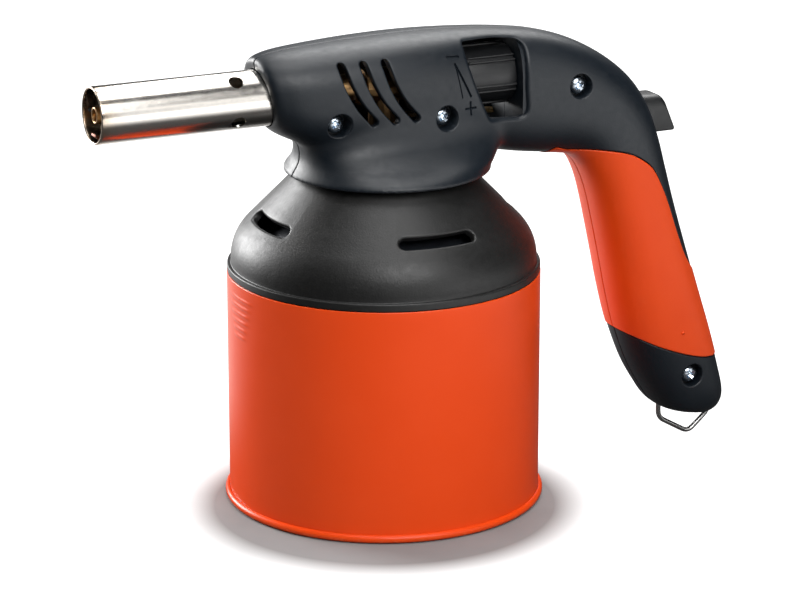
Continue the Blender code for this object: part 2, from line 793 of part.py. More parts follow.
def grip_region(name, grow):
    """The grips' area in side view, taken through the handle."""
    top = curve_through(side_outline(GRIP_TOP_SHARES), 1)
    foot = curve_through(side_outline(GRIP_FOOT_SHARES), 1)
    inward = [Vector((0, -1)) * grow] * len(top) + [Vector((0, 1)) * grow] * len(foot)
    outline = [tuple(Vector(p) + move) for p, move in zip([*top, *foot], inward)]
    return prism(name, outline, -COLLAR_RADIUS, COLLAR_RADIUS)


def half_space(name, side):
    """Everything on one side of the split, less half the gap there."""
    far, near = HANDLE_REACH * 2, SPLIT_GAP / 2
    low, high = (-far, -near) if side < 0 else (near, far)
    return box(name, (-far, low, -far), (far, high, far))


def make_shells(material):
    body = housing("body", 0, HOUSING_SIDES)
    places = screw_places(body)
    shell = cut(copy_of(body, "shell"), housing("hollow", HOUSING_WALL, HOUSING_INNER_SIDES),
                solver=SHELL_SOLVER)
    window = fillet(side_outline(WINDOW_SHARES), WINDOW_CORNER, 2)
    cut(shell, prism("window", window, -COLLAR_RADIUS, COLLAR_RADIUS), *slot_cutters(),
        solver=SHELL_SOLVER)
    join(shell, inner_frame(body), solver=SHELL_SOLVER)
    mouth = rod("mouth", (-NOSE_REACH - OVERRUN, 0, BURNER_Z),
                (-BURNER_TAIL, 0, BURNER_Z), BURNER_RADIUS + GAP, MID_TURN)
    cut(shell, mouth, button_hole(), *loop_slots(), solver=SHELL_SOLVER)
    pocket = keep_within(housing("pocket", -GRIP_PROUD * 2, HOUSING_SIDES), grip_region("area", 0),
                         SHELL_SOLVER)
    cut(pocket, housing("floor", GRIP_THICKNESS, HOUSING_SIDES), solver=SHELL_SOLVER)
    cut(shell, pocket, solver=SHELL_SOLVER)
    left = keep_within(copy_of(shell, "shell_left"), half_space("half", -1), SHELL_SOLVER)
    right = keep_within(shell, half_space("half", 1), SHELL_SOLVER)
    right.name = "shell_right"
    for x, z, seat in places:
        hole = SCREW_SHANK_RADIUS + GAP
        cut(left, rod("counterbore", (x, -COLLAR_RADIUS, z), (x, -seat + GAP, z),
                      COUNTERBORE_RADIUS),
            rod("hole", (x, -COLLAR_RADIUS, z), (x, OVERRUN, z), hole), solver=SHELL_SOLVER)
        cut(right, rod("pilot", (x, -OVERRUN, z), (x, SCREW_REACH + GAP, z), hole),
            solver=SHELL_SOLVER)
    finish(left, material)
    finish(right, material)
    return left, right, places, body


def make_grips(material):
    inner = GRIP_THICKNESS - GAP
    cover = keep_within(housing("cover", -GRIP_PROUD, HOUSING_SIDES),
                        grip_region("area", GAP), SHELL_SOLVER)
    cut(cover, housing("back", inner, HOUSING_SIDES), solver=SHELL_SOLVER)
    left = keep_within(copy_of(cover, "grip_cover_left"), half_space("half", -1), SHELL_SOLVER)
    right = keep_within(cover, half_space("half", 1), SHELL_SOLVER)
    right.name = "grip_cover_right"
    return [finish(left, material), finish(right, material)]


def make_screw(number, place, material):
    """A pan head screw with a cross recess, driven from the -Y side."""
    x, z, seat = place
    head, top = SCREW_HEAD_RADIUS, SCREW_HEAD_HEIGHT
    crown = [(head * math.cos(a), top * (0.45 + 0.55 * math.sin(a)))
             for a in (0, math.pi / 4)]
    length = seat + SCREW_REACH
    made = turned(f"case_screw_{number}", (
        (0, -length), (SCREW_SHANK_RADIUS / 2, -length),
        (SCREW_SHANK_RADIUS, -length + SCREW_SHANK_RADIUS), (SCREW_SHANK_RADIUS, 0),
        (head, 0), *crown, (0, top)), SMALL_TURN)
    for turn in (0, math.pi / 2):
        arm = box("arm", (-SCREW_CROSS_SPAN / 2, -SCREW_CROSS_WIDTH / 2, top - SCREW_CROSS_DEPTH),
                  (SCREW_CROSS_SPAN / 2, SCREW_CROSS_WIDTH / 2, top + OVERRUN))
        cut(made, placed(arm, Matrix.Rotation(turn + math.pi / 5, 4, "Z")))
    placed(made, Matrix.Translation((x, -seat, z)) @ Matrix.Rotation(math.pi / 2, 4, "X"))
    return finish(made, material)


def make_cup(material):
    """The steel cup: a tube with an out-turned foot, and pressed ribs to grip it by."""
    flange_low = FLOOR_TOP_Z + GAP
    flange_high = flange_low + CUP_WALL
    made = turned("cartridge_cup", (
        (CUP_INNER, flange_low), (CUP_RADIUS + SEAM_LIP - CUP_WALL - GAP, flange_low),
        (CUP_RADIUS + SEAM_LIP - CUP_WALL - GAP, flange_high), (CUP_RADIUS, flange_high),
        (CUP_RADIUS, CUP_HEIGHT), (CUP_INNER, CUP_HEIGHT)), BIG_TURN)
    for side in (0, math.pi):
        for number in range(GRIP_RIB_COUNT):
            fall = number / (GRIP_RIB_COUNT - 1)
            width = GRIP_RIB_WIDTH + (GRIP_RIB_END_WIDTH - GRIP_RIB_WIDTH) * fall
            height = CUP_HEIGHT - GRIP_RIB_TOP - number * GRIP_RIB_PITCH
            join(made, grip_rib(side, height, width))
    return finish(made, material)


def grip_rib(side, height, width):
    """One pressed rib on the cup's wall, tapered to nothing at its ends."""
    sunk, half = CUP_RADIUS - CUP_WALL / 2, GRIP_RIB_HEIGHT / 2
    rings = []
    for t in GRIP_RIB_STATION_SHARES:
        angle = side + t * width / 2 / CUP_RADIUS
        rise = GRIP_RIB_RISE * (1 - t ** 4) - CUP_WALL / 4 * t ** 4
        crest = CUP_RADIUS + rise
        ring = ((sunk, -half), (crest, -half / 3), (crest, half / 3), (sunk, half))
        rings.append([(r * math.cos(angle), r * math.sin(angle), height + z) for r, z in ring])
    return loft("rib", rings)


def make_base(material):
    """The pressed base: a flat disc with one ring bead, and a rim that is rolled over the cup."""
    lip_low = FLOOR_TOP_Z + GAP + CUP_WALL + GAP
    outer = CUP_RADIUS + SEAM_LIP + GAP
    bead_out = CUP_RADIUS - BASE_BEAD_INSET
    bead_in = bead_out - BASE_BEAD_WIDTH
    slope = BASE_BEAD_RISE * 1.5
    rise, wall = BASE_BEAD_RISE, CUP_WALL
    corner = CUP_WALL * 0.9
    made = turned("cup_base", (
        (0, 0), (bead_in, 0), (bead_in + slope, rise), (bead_out - slope, rise), (bead_out, 0),
        (outer - corner, 0), (outer, corner), (outer, SEAM_HEIGHT - corner),
        (outer - corner, SEAM_HEIGHT), (CUP_RADIUS + GAP, SEAM_HEIGHT),
        (CUP_RADIUS + GAP, lip_low), (outer - wall, lip_low), (outer - wall, wall),
        (bead_out + wall / 3, wall), (bead_out - slope + wall / 3, rise + wall),
        (bead_in + slope - wall / 3, rise + wall), (bead_in - wall / 3, wall), (0, wall)), BIG_TURN)
    return finish(made, material)


def make_cartridge(material):
    """The thin steel gas cartridge, hollow, with the hole that the needle pierced."""
    foot, top = CARTRIDGE_FOOT_Z, CARTRIDGE_TOP_Z
    shoulder_z = CUP_HEIGHT - CARTRIDGE_SHOULDER_DROP
    boss_radius = CARTRIDGE_BOSS_RADIUS
    hole = NEEDLE_RADIUS + GAP

    def skin(inset):
        reach = CARTRIDGE_RADIUS - boss_radius - inset
        crown = top - CARTRIDGE_BOSS_RISE - shoulder_z - inset
        angles = [math.pi / 2 * k / DOME_STEPS for k in range(DOME_STEPS)]
        dome = [(boss_radius + reach * math.cos(a), shoulder_z + crown * math.sin(a))
                for a in angles]
        corner = CARTRIDGE_FOOT_RADIUS
        side = CARTRIDGE_RADIUS - inset
        return [(side - corner, foot + inset), (side, foot + inset + corner), *dome,
                (boss_radius - inset, top - CARTRIDGE_BOSS_RISE - inset),
                (boss_radius - inset * 2, top - inset), (hole, top - inset)]

    outer, inner = skin(0), skin(CARTRIDGE_WALL)
    profile = [(0, foot), *outer, *inner[::-1], (0, foot + CARTRIDGE_WALL)]
    return finish(turned("gas_cartridge", profile, MID_TURN), material)


def dome_profile():
    """The cover's outside from the flange to the spigot, then its inside back down."""
    foot, side = DOME_FOOT_Z, DOME_SIDE_RADIUS
    centre = (side - DOME_SHOULDER_RADIUS, foot + DOME_SHOULDER_HEIGHT)
    top, plate = DOME_TOP_Z, DOME_TOP_Z - DOME_WALL

    def arc(radius):
        angles = [DOME_SHOULDER_TURN * k / DOME_STEPS for k in range(DOME_STEPS + 1)]
        return [(centre[0] + radius * math.cos(a), centre[1] + radius * math.sin(a))
                for a in angles]

    outside, inside = arc(DOME_SHOULDER_RADIUS), arc(DOME_SHOULDER_RADIUS - DOME_WALL)
    inner_top = inside[-1][0] - (plate - inside[-1][1]) / math.tan(DOME_CONE_ANGLE)
    flange = CUP_RADIUS - DOME_FLANGE_SETBACK
    flange_top = foot + DOME_FLANGE_HEIGHT
    skirt = CUP_INNER - GAP
    bore, hole = SPIGOT_RADIUS - SPIGOT_WALL, STEM_FOOT_RADIUS + GAP
    lip, crest = SPIGOT_RADIUS + SPIGOT_LIP, top + SPIGOT_HEIGHT
    edge = DOME_FLANGE_EDGE
    return [
        (skirt - SKIRT_WALL, foot - SKIRT_DEPTH), (skirt, foot - SKIRT_DEPTH), (skirt, foot),
        (flange, foot), (flange, flange_top - edge), (flange - edge, flange_top),
        (side + edge, flange_top), *outside,
        (DOME_TOP_RADIUS, top), (SPIGOT_RADIUS, top),
        (SPIGOT_RADIUS, crest - SPIGOT_LIP_HEIGHT), (lip, crest - SPIGOT_LIP_HEIGHT),
        (lip, crest), (bore, crest), (bore, top), (hole, top), (hole, plate),
        (inner_top, plate), *inside[::-1],
        (inside[0][0], foot + DOME_FLANGE_HEIGHT), (skirt - SKIRT_WALL, foot + edge),
    ]


def vent_cutter(turn):
    """A long slot round the cone, with round ends and a bevel outside."""
    slant = Vector((-math.cos(DOME_CONE_ANGLE), math.sin(DOME_CONE_ANGLE)))
    out = Vector((slant.y, -slant.x))
    middle = Vector((CONE_FOOT_RADIUS, CONE_FOOT_Z)) + slant * VENT_SLANT
    half, arc = VENT_HEIGHT / 2, VENT_SPAN / 2 * middle.x
    bevel = VENT_BEVEL
    rings = []
    for step in range(VENT_STEPS + 1):
        lean = -math.cos(math.pi * step / VENT_STEPS)
        along_arc = lean * arc
        into_end = max(abs(along_arc) - (arc - half), 0)
        height = math.sqrt(max(half ** 2 - into_end ** 2, (half * 0.2) ** 2))
        angle = turn + along_arc / middle.x
        flare = 1 + OVERRUN / bevel
        ring = []
        for depth, reach in ((-DOME_WALL * 2, height), (-bevel, height),
                             (OVERRUN, height + bevel * flare), (OVERRUN, -height - bevel * flare),
                             (-bevel, -height), (-DOME_WALL * 2, -height)):
            spot = middle + out * depth + slant * reach
            ring.append((spot.x * math.cos(angle), spot.x * math.sin(angle), spot.y))
        rings.append(ring)
    return loft("vent", rings)


def latch_radius():
    """Inner radius of the latch springs, which hang just inside the cup's wall."""
    return CUP_INNER - GAP - SKIRT_WALL + LATCH_THICKNESS / 2


def sector(name, outline, side, half_width):
    """An outline of radius and height points, swept round Z over a width centred on +X or -X."""
    radius = sum(point[0] for point in outline) / len(outline)
    middle = 0 if side > 0 else math.pi
    rings = []
    for t in (-1, 0, 1):
        angle = middle + t * half_width / radius
        rings.append([(r * math.cos(angle), r * math.sin(angle), z) for r, z in outline])
    return loft(name, rings)


def make_dome(material):
    made = turned("dome_cover", dome_profile(), BIG_TURN)
    cut(made, *(vent_cutter(math.tau * k / VENT_COUNT) for k in range(VENT_COUNT)))
    low, high = DOME_FOOT_Z - SKIRT_DEPTH - OVERRUN, DOME_FOOT_Z + LATCH_SEAT + GAP
    inner, outer = latch_radius() - GAP, CUP_INNER - GAP / 2
    for side in (-1, 1):
        cut(made, sector("seat", ((inner, low), (outer, low), (outer, high), (inner, high)),
                         side, LATCH_WIDTH / 2 + GAP))
    return finish(made, material)


def make_latch(name, side, material):
    """A spring strip with a rounded bump that holds the cup from inside."""
    low, high = DOME_FOOT_Z - LATCH_DROP, DOME_FOOT_Z + LATCH_SEAT
    inner, outer = latch_radius(), latch_radius() + LATCH_THICKNESS
    bump = DOME_FOOT_Z - LATCH_BUMP_DROP
    half = LATCH_BUMP_HEIGHT / 2
    room = CUP_INNER - GAP - outer
    crest = [(outer + room * math.cos(a), bump + half * math.sin(a))
             for a in (-math.pi / 4, 0, math.pi / 4)]
    outline = [(inner, low), (outer, low), (outer, bump - half), *crest, (outer, bump + half),
               (outer, high), (inner, high)]
    return finish(sector(name, outline, side, LATCH_WIDTH / 2), material)


def to_burner_axis(made):
    """Turns a piece made round Z so that its axis is the burner's, with +Z becoming +X."""
    return placed(made, Matrix.Translation((0, 0, BURNER_Z)) @ Matrix.Rotation(math.pi / 2, 4, "Y"))


def make_burner_tube(material):
    mouth, tail = -BURNER_MOUTH, -BURNER_TAIL - GAP
    made = to_burner_axis(turned("burner_tube", (
        (BURNER_INNER, mouth), (BURNER_RADIUS - BURNER_WALL / 3, mouth),
        (BURNER_RADIUS, mouth + BURNER_WALL / 3), (BURNER_RADIUS, tail),
        (BURNER_INNER, tail)), MID_TURN))
    for k in range(AIR_HOLE_COUNT // 2):
        angle = AIR_HOLE_TURN + math.tau / AIR_HOLE_COUNT * k
        arm = Vector((0, math.cos(angle), math.sin(angle))) * BURNER_RADIUS * 2
        middle = Vector((-NOSE_REACH - AIR_HOLE_SETBACK, 0, BURNER_Z))
        cut(made, rod("air", middle - arm, middle + arm, AIR_HOLE_RADIUS), solver=SHELL_SOLVER)
    return finish(made, material)


def insulator_hole(low, high):
    offset = Vector((0, INSULATOR_OFFSET, BURNER_Z))
    return rod("hole", offset + Vector((low, 0, 0)), offset + Vector((high, 0, 0)),
               INSULATOR_RADIUS + GAP)


def make_bush(material):
    """The ring at the tube's tail that carries the mixer tube on the burner's axis."""
    high = -BURNER_TAIL - GAP - BUSH_SETBACK
    low = high - BUSH_LENGTH
    made = to_burner_axis(turned("burner_bush", (
        (MIXER_RADIUS + GAP, low), (BURNER_INNER - GAP, low), (BURNER_INNER - GAP, high),
        (MIXER_RADIUS + GAP, high)), MID_TURN))
    return finish(cut(made, insulator_hole(low - OVERRUN, high + OVERRUN)), material)


def mixer_bell_x():
    """X of the mixer bell's open end, which takes the jet's tip."""
    return -VALVE_FRONT - GAP - JET_HEAD_LENGTH - GAP - JET_TIP_LENGTH / 3


def make_mixer(material):
    """The gas and air tube: a bell at the jet, a cone, and a long thin tube to the mouth."""
    end = -BURNER_MOUTH + MIXER_SETBACK
    open_end = mixer_bell_x()
    bell = open_end - MIXER_BELL_LENGTH
    cone = bell - MIXER_CONE_LENGTH
    wall = MIXER_BELL_WALL
    made = turned("mixer_tube", (
        (MIXER_BORE, end), (MIXER_RADIUS, end), (MIXER_RADIUS, cone), (MIXER_BELL_RADIUS, bell),
        (MIXER_BELL_RADIUS, open_end), (MIXER_BELL_RADIUS - wall, open_end),
        (MIXER_BELL_RADIUS - wall, bell), (MIXER_BORE, cone)), SMALL_TURN)
    return finish(to_burner_axis(made), material)


def make_stabiliser(material):
    """The ported disc that steadies the flame behind the mouth."""
    low = -BURNER_MOUTH + STABILISER_SETBACK
    high = low + STABILISER_THICKNESS
    made = to_burner_axis(turned("flame_stabiliser", (
        (MIXER_RADIUS + GAP, low), (BURNER_INNER - GAP, low), (BURNER_INNER - GAP, high),
        (MIXER_RADIUS + GAP, high)), MID_TURN))
    cut(made, insulator_hole(low - OVERRUN, high + OVERRUN))
    for k in range(STABILISER_PORT_COUNT):
        angle = math.tau * (k + 1) / (STABILISER_PORT_COUNT + 1)
        arm = Vector((0, math.cos(angle), math.sin(angle))) * INSULATOR_OFFSET
        middle = arm + Vector((0, 0, BURNER_Z))
        cut(made, rod("port", middle + Vector((low - OVERRUN, 0, 0)),
                      middle + Vector((high + OVERRUN, 0, 0)), STABILISER_PORT_RADIUS, SMALL_TURN))
    return finish(made, material)


def insulator_span():
    return -BURNER_MOUTH + INSULATOR_SETBACK, -BURNER_TAIL - GAP + BUSH_SETBACK


def make_insulator(material):
    low, high = insulator_span()
    made = to_burner_axis(turned("electrode_insulator", (
        (INSULATOR_BORE, low), (INSULATOR_RADIUS, low), (INSULATOR_RADIUS, high),
        (INSULATOR_BORE, high)), SMALL_TURN))
    return finish(placed(made, Matrix.Translation((0, INSULATOR_OFFSET, 0))), material)


def make_electrode(material):
    """The spark wire: straight through its insulator, then hooked towards the mixer tube."""
    low, high = insulator_span()
    tip = -BURNER_MOUTH + ELECTRODE_SETBACK
    side, hook = INSULATOR_OFFSET, ELECTRODE_HOOK
    path = [(high + GAP, side, BURNER_Z), (low, side, BURNER_Z),
            (low - hook, side, BURNER_Z), (tip + hook, side - hook * 0.4, BURNER_Z + hook * 0.4),
            (tip, side - hook, BURNER_Z + hook * 0.7)]
    return finish(wire("spark_electrode", path, ELECTRODE_RADIUS), material)


def make_earth_tab(material):
    """A bent strip at the bottom of the mouth, the spark's other pole."""
    low = BURNER_Z - math.sqrt((BURNER_INNER - GAP) ** 2 - (EARTH_TAB_WIDTH / 2) ** 2)
    start = -BURNER_MOUTH + GAP
    end, wall, rise = start + EARTH_TAB_LENGTH, EARTH_TAB_THICKNESS, EARTH_TAB_RISE
    outline = ((start, low + rise), (start, low + rise - wall), (start + rise, low),
               (end, low), (end, low + wall), (start + rise + wall / 2, low + wall))
    return finish(prism("earth_tab", outline, -EARTH_TAB_WIDTH / 2, EARTH_TAB_WIDTH / 2), material)


def make_valve_body(material):
    """The brass valve: a stem through the dome's top plate, and a barrel on the burner's axis."""
    foot, seat = STEM_FOOT_Z, DOME_TOP_Z + GAP
    flange = SPIGOT_RADIUS - SPIGOT_WALL - GAP
    bore = NEEDLE_RADIUS + GAP
    made = turned("valve_body", (
        (bore, foot), (STEM_FOOT_RADIUS, foot), (STEM_FOOT_RADIUS, seat), (flange, seat),
        (flange, seat + VALVE_FLANGE_HEIGHT), (STEM_RADIUS, seat + VALVE_FLANGE_HEIGHT),
        (STEM_RADIUS, BURNER_Z), (0, BURNER_Z), (0, foot + NEEDLE_GRIP),
        (bore, foot + NEEDLE_GRIP)), ROUND_TURN)
    join(made, rod("barrel", (-VALVE_FRONT, 0, BURNER_Z), (VALVE_BACK, 0, BURNER_Z),
                   VALVE_RADIUS, ROUND_TURN))
    cut(made, rod("jet_bore", (-VALVE_FRONT - OVERRUN, 0, BURNER_Z),
                  (-VALVE_FRONT + JET_SHANK_LENGTH, 0, BURNER_Z), JET_SHANK_RADIUS + GAP),
        rod("spindle_bore", (VALVE_BACK - SPINDLE_INSERT - GAP, 0, BURNER_Z),
            (VALVE_BACK + OVERRUN, 0, BURNER_Z), SPINDLE_RADIUS + GAP))
    return finish(made, material)


def make_nut(material):
    """The hexagon nut that clamps the valve to the dome's top plate."""
    top = DOME_TOP_Z - DOME_WALL - GAP
    made = turned("inlet_nut", ((0, top - NUT_HEIGHT), (NUT_RADIUS, top - NUT_HEIGHT),
                                (NUT_RADIUS, top), (0, top)), 6)
    cut(made, rod("thread", (0, 0, top - NUT_HEIGHT - OVERRUN), (0, 0, top + OVERRUN),
                  STEM_FOOT_RADIUS + GAP))
    return finish(made, material)


def make_seal(material):
    low, high = CARTRIDGE_TOP_Z + GAP, STEM_FOOT_Z - GAP
    bore, corner = NEEDLE_RADIUS + GAP, (high - low) / 8
    made = turned("cartridge_seal", (
        (bore, low), (SEAL_RADIUS - corner, low), (SEAL_RADIUS, low + corner),
        (SEAL_RADIUS, high - corner), (SEAL_RADIUS - corner, high), (bore, high)), ROUND_TURN)
    return finish(made, material)


def make_needle(material):
    tip = CARTRIDGE_TOP_Z - NEEDLE_REACH
    made = turned("piercing_needle", (
        (0, tip), (NEEDLE_RADIUS / 6, tip), (NEEDLE_RADIUS, tip + NEEDLE_TIP),
        (NEEDLE_RADIUS, STEM_FOOT_Z + NEEDLE_GRIP - GAP),
        (0, STEM_FOOT_Z + NEEDLE_GRIP - GAP)), SMALL_TURN)
    return finish(made, material)


def make_jet(material):
    """The gas jet: a threaded shank, a collar and a fine tip."""
    seat = -VALVE_FRONT - GAP
    shank = seat + JET_SHANK_LENGTH
    collar = seat - JET_HEAD_LENGTH
    tip = collar - JET_TIP_LENGTH
    taper = JET_TIP_RADIUS / 2
    made = turned("gas_jet", (
        (JET_BORE, tip), (taper, tip), (JET_TIP_RADIUS, tip + taper), (JET_TIP_RADIUS, collar),
        (JET_HEAD_RADIUS, collar), (JET_HEAD_RADIUS, seat), (JET_SHANK_RADIUS, seat),
        (JET_SHANK_RADIUS, shank - GAP), (JET_BORE, shank - GAP)), SMALL_TURN)
    return finish(to_burner_axis(made), material)


def make_spindle(material):
    low = VALVE_BACK - SPINDLE_INSERT
    high = WHEEL_X + WHEEL_LENGTH + GAP + RIB_THICKNESS + SPINDLE_TAIL / 3
    made = turned("valve_spindle", (
        (0, low), (SPINDLE_RADIUS / 3, low), (SPINDLE_RADIUS, low + SPINDLE_RADIUS),
        (SPINDLE_RADIUS, high), (0, high)), ROUND_TURN)
    return finish(to_burner_axis(made), material)


def make_wheel(material):
    """The valve wheel: a barrel with pairs of thin grip ribs along it."""
    low, high, corner = WHEEL_X, WHEEL_X + WHEEL_LENGTH, WHEEL_CORNER
    bore = SPINDLE_RADIUS + GAP
    made = turned("valve_wheel", (
        (bore, low), (WHEEL_RADIUS - corner, low), (WHEEL_RADIUS, low + corner),
        (WHEEL_RADIUS, high - corner), (WHEEL_RADIUS - corner, high), (bore, high)), MID_TURN)
    for k in range(WHEEL_RIB_PAIRS):
        for side in (-1, 1):
            low_z, high_z = low + corner, high - corner
            middle = side * WHEEL_RIB_SPACE / 2
            rib = box("rib", (WHEEL_RADIUS * 0.9, middle - WHEEL_RIB_WIDTH / 2, low_z),
                      (WHEEL_RADIUS + WHEEL_RIB_RISE, middle + WHEEL_RIB_WIDTH / 2, high_z))
            turn = WHEEL_REST_TURN + math.tau * k / WHEEL_RIB_PAIRS
            join(made, placed(rib, Matrix.Rotation(turn, 4, "Z")))
    return finish(to_burner_axis(made), material)


def make_button(material):
    """The igniter button, with its plunger reaching into the igniter unit."""
    outline = fillet(button_outline(), BUTTON_CORNER, 3)
    rings = []
    root = button_root_x()
    for share, reach in BUTTON_SECTION_SHARES:
        ring = []
        for x, z in outline:
            squeeze = BUTTON_CORNER * (1 - reach)
            ring.append((x - squeeze * (x > root + BUTTON_ROOT), share * BUTTON_HALF_WIDTH,
                         BUTTON_Z + (z - BUTTON_Z) * (1 - squeeze / BUTTON_HEIGHT)))
        rings.append(ring)
    made = loft("igniter_button", rings)
    reach = BUTTON_TRAVEL + GAP + PLUNGER_INSERT
    join(made, rod("plunger", (root - reach, 0, BUTTON_Z), (root + OVERRUN, 0, BUTTON_Z),
                   PLUNGER_RADIUS, ROUND_TURN))
    return finish(made, material)


def make_piezo(material):
    front, back = piezo_span()
    low, high = BUTTON_Z - PIEZO_HALF_HEIGHT, BUTTON_Z + PIEZO_HALF_HEIGHT
    made = box("piezo_unit", (front, -PIEZO_HALF_WIDTH, low), (back, PIEZO_HALF_WIDTH, high))
    depth = PLUNGER_INSERT + BUTTON_TRAVEL + GAP * 2
    cut(made, rod("plunger_bore", (back - depth, 0, BUTTON_Z), (back + OVERRUN, 0, BUTTON_Z),
                  PLUNGER_RADIUS + GAP, ROUND_TURN))
    return finish(made, material)


def lead_path():
    """The spark lead's route: out of the igniter unit, under the wheel, round the valve."""
    front = piezo_span()[0] - GAP * 2
    end = insulator_span()[1] + GAP * 2
    out = PIEZO_HALF_WIDTH / 2
    beside = STEM_FOOT_RADIUS + LEAD_RADIUS * 3
    under = BURNER_Z - WHEEL_RADIUS - WHEEL_RIB_RISE - LEAD_RADIUS * 3.5
    return [
        (front, out, BUTTON_Z),
        (front - PIEZO_RIB_INSET, out, BUTTON_Z),
        (WHEEL_X + WHEEL_LENGTH, beside, under - LEAD_RADIUS),
        (WHEEL_X, beside, under),
        (VALVE_BACK / 3, beside, under + LEAD_RADIUS),
        (-VALVE_FRONT, beside + LEAD_RADIUS, BURNER_Z - VALVE_RADIUS),
        (end + MIXER_BELL_RADIUS, beside, BURNER_Z),
        (end + LEAD_RADIUS, INSULATOR_OFFSET, BURNER_Z),
        (end, INSULATOR_OFFSET, BURNER_Z),
    ]


def lead_tunnel():
    """Room for the lead where it passes through the wheel's bearing rib."""
    return wire("tunnel", curve_through(lead_path(), 2), LEAD_RADIUS + GAP * 2, 6)


def make_lead(material):
    return finish(wire("spark_lead", curve_through(lead_path(), 2), LEAD_RADIUS, 6), material)


def make_loop(material):
    """The bent wire loop: two pins, two short legs and a V between them."""
    front, axis = loop_frame()
    back = front + axis * loop_span()
    down = Vector((0, 0, -1))
    knee = LOOP_DROP * LOOP_KNEE_SHARE
    vertex = front + axis * loop_span() * LOOP_VERTEX_SHARE + down * LOOP_DROP
    corners = [front + axis * LOOP_PIN, front, front + down * knee, vertex,
               back + down * knee, back, back - axis * LOOP_PIN]
    path = [corners[0]]
    for before, corner, after in zip(corners, corners[1:], corners[2:]):
        reach = min(LOOP_BEND, (corner - before).length / 2.2, (after - corner).length / 2.2)
        first = corner + (before - corner).normalized() * reach
        last = corner + (after - corner).normalized() * reach
        for t in (0, 0.5, 1):
            path.append(first * (1 - t) ** 2 + corner * 2 * t * (1 - t) + last * t ** 2)
    path.append(corners[-1])
    return finish(wire("hanging_loop", path, LOOP_WIRE_RADIUS, 8), material)


def empty(name, place, parent=None):
    made = bpy.data.objects.new(name, None)
    made.location = place
    bpy.context.scene.collection.objects.link(made)
    made.parent = parent
    bpy.context.view_layer.update()
    return made


def ride(pieces, carrier):
    """Parents finished pieces to the empty that moves them, with their origins on it."""
    for piece in pieces:
        place = carrier.matrix_world.translation
        piece.data.transform(Matrix.Translation(-place))
        piece.parent = carrier


def main():
    clear_scene()
    orange_paint = principled("orange_paint", (0.78, 0.075, 0.012), 0.35, 0.0)
    black_plastic = principled("black_plastic", (0.022, 0.023, 0.026), 0.48, 0.0)
    orange_rubber = principled("orange_rubber", (0.80, 0.080, 0.012), 0.55, 0.0)
    zinc = principled("zinc", (0.75, 0.78, 0.80), 0.25, 1.0)
    steel = principled("steel", (0.68, 0.64, 0.60), 0.22, 1.0)
    dark_steel = principled("dark_steel", (0.30, 0.29, 0.28), 0.40, 1.0)
    brass = principled("brass", (0.72, 0.50, 0.22), 0.30, 1.0)
    ceramic = principled("ceramic", (0.85, 0.84, 0.80), 0.40, 0.0)
    rubber = principled("rubber", (0.02, 0.02, 0.02), 0.70, 0.0)
    blue_steel = principled("cartridge_steel", (0.10, 0.20, 0.45), 0.35, 0.6)

    root = empty("cup_root", (0, 0, 0))
    cartridge_slide = empty("cartridge_slide", (0, 0, CARTRIDGE_FOOT_Z), root)
    head_slide = empty("head_slide", (0, 0, DOME_FOOT_Z), root)
    wheel_axis = empty("wheel_axis", (WHEEL_X, 0, BURNER_Z - DOME_FOOT_Z), head_slide)
    button_axis = empty("button_axis", (button_root_x(), 0, BUTTON_Z - DOME_FOOT_Z), head_slide)
    pivot = loop_frame()[0]
    loop_axis = empty("loop_axis", (pivot.x, 0, pivot.z - DOME_FOOT_Z), head_slide)

    ride([make_cup(orange_paint), make_base(orange_paint)], root)
    ride([make_cartridge(blue_steel)], cartridge_slide)
    left, right, places, body = make_shells(black_plastic)
    bpy.data.objects.remove(body)
    head = [left, right, *make_grips(orange_rubber), make_dome(black_plastic)]
    head += [make_screw(k + 1, place, zinc) for k, place in enumerate(places)]
    head += [make_latch("latch_spring_front", -1, steel), make_latch("latch_spring_rear", 1, steel)]
    head += [make_burner_tube(steel), make_bush(brass), make_mixer(brass), make_jet(brass)]
    head += [make_stabiliser(dark_steel), make_insulator(ceramic), make_electrode(steel)]
    head += [make_earth_tab(steel), make_lead(rubber), make_piezo(black_plastic)]
    head += [make_valve_body(brass), make_nut(brass), make_seal(rubber), make_needle(steel)]
    ride(head, head_slide)
    ride([make_wheel(black_plastic), make_spindle(steel)], wheel_axis)
    ride([make_button(black_plastic)], button_axis)
    ride([make_loop(steel)], loop_axis)
    bpy.context.view_layer.update()


main()
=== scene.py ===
from math import copysign, cos, degrees, pi, radians, sin, sqrt, tan, tau

import bmesh
import bpy
import numpy as np
from mathutils import Matrix, Vector
from mathutils.bvhtree import BVHTree


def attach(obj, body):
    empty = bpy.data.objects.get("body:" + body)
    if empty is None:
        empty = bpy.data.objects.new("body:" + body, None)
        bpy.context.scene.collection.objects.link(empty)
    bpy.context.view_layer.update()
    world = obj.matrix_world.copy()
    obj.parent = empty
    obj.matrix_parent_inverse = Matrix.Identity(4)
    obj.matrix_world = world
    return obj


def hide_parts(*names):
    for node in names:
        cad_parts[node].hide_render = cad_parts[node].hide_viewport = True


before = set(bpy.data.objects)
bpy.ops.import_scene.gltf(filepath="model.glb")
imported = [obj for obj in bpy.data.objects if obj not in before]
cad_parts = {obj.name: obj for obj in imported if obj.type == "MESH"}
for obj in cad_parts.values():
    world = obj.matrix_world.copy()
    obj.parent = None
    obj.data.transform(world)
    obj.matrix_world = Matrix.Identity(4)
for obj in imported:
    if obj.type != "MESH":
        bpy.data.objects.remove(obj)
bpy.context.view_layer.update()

# Sizes of the real object, in metres, the same as in the source of the solids
CUP_RADIUS, CUP_WALL, CUP_HEIGHT = 0.0468, 0.0006, 0.0701
NOSE_REACH, HANDLE_REACH = 0.0435, 0.117
HEAD_HEIGHT, HANDLE_DROP = 0.0412, 0.0894
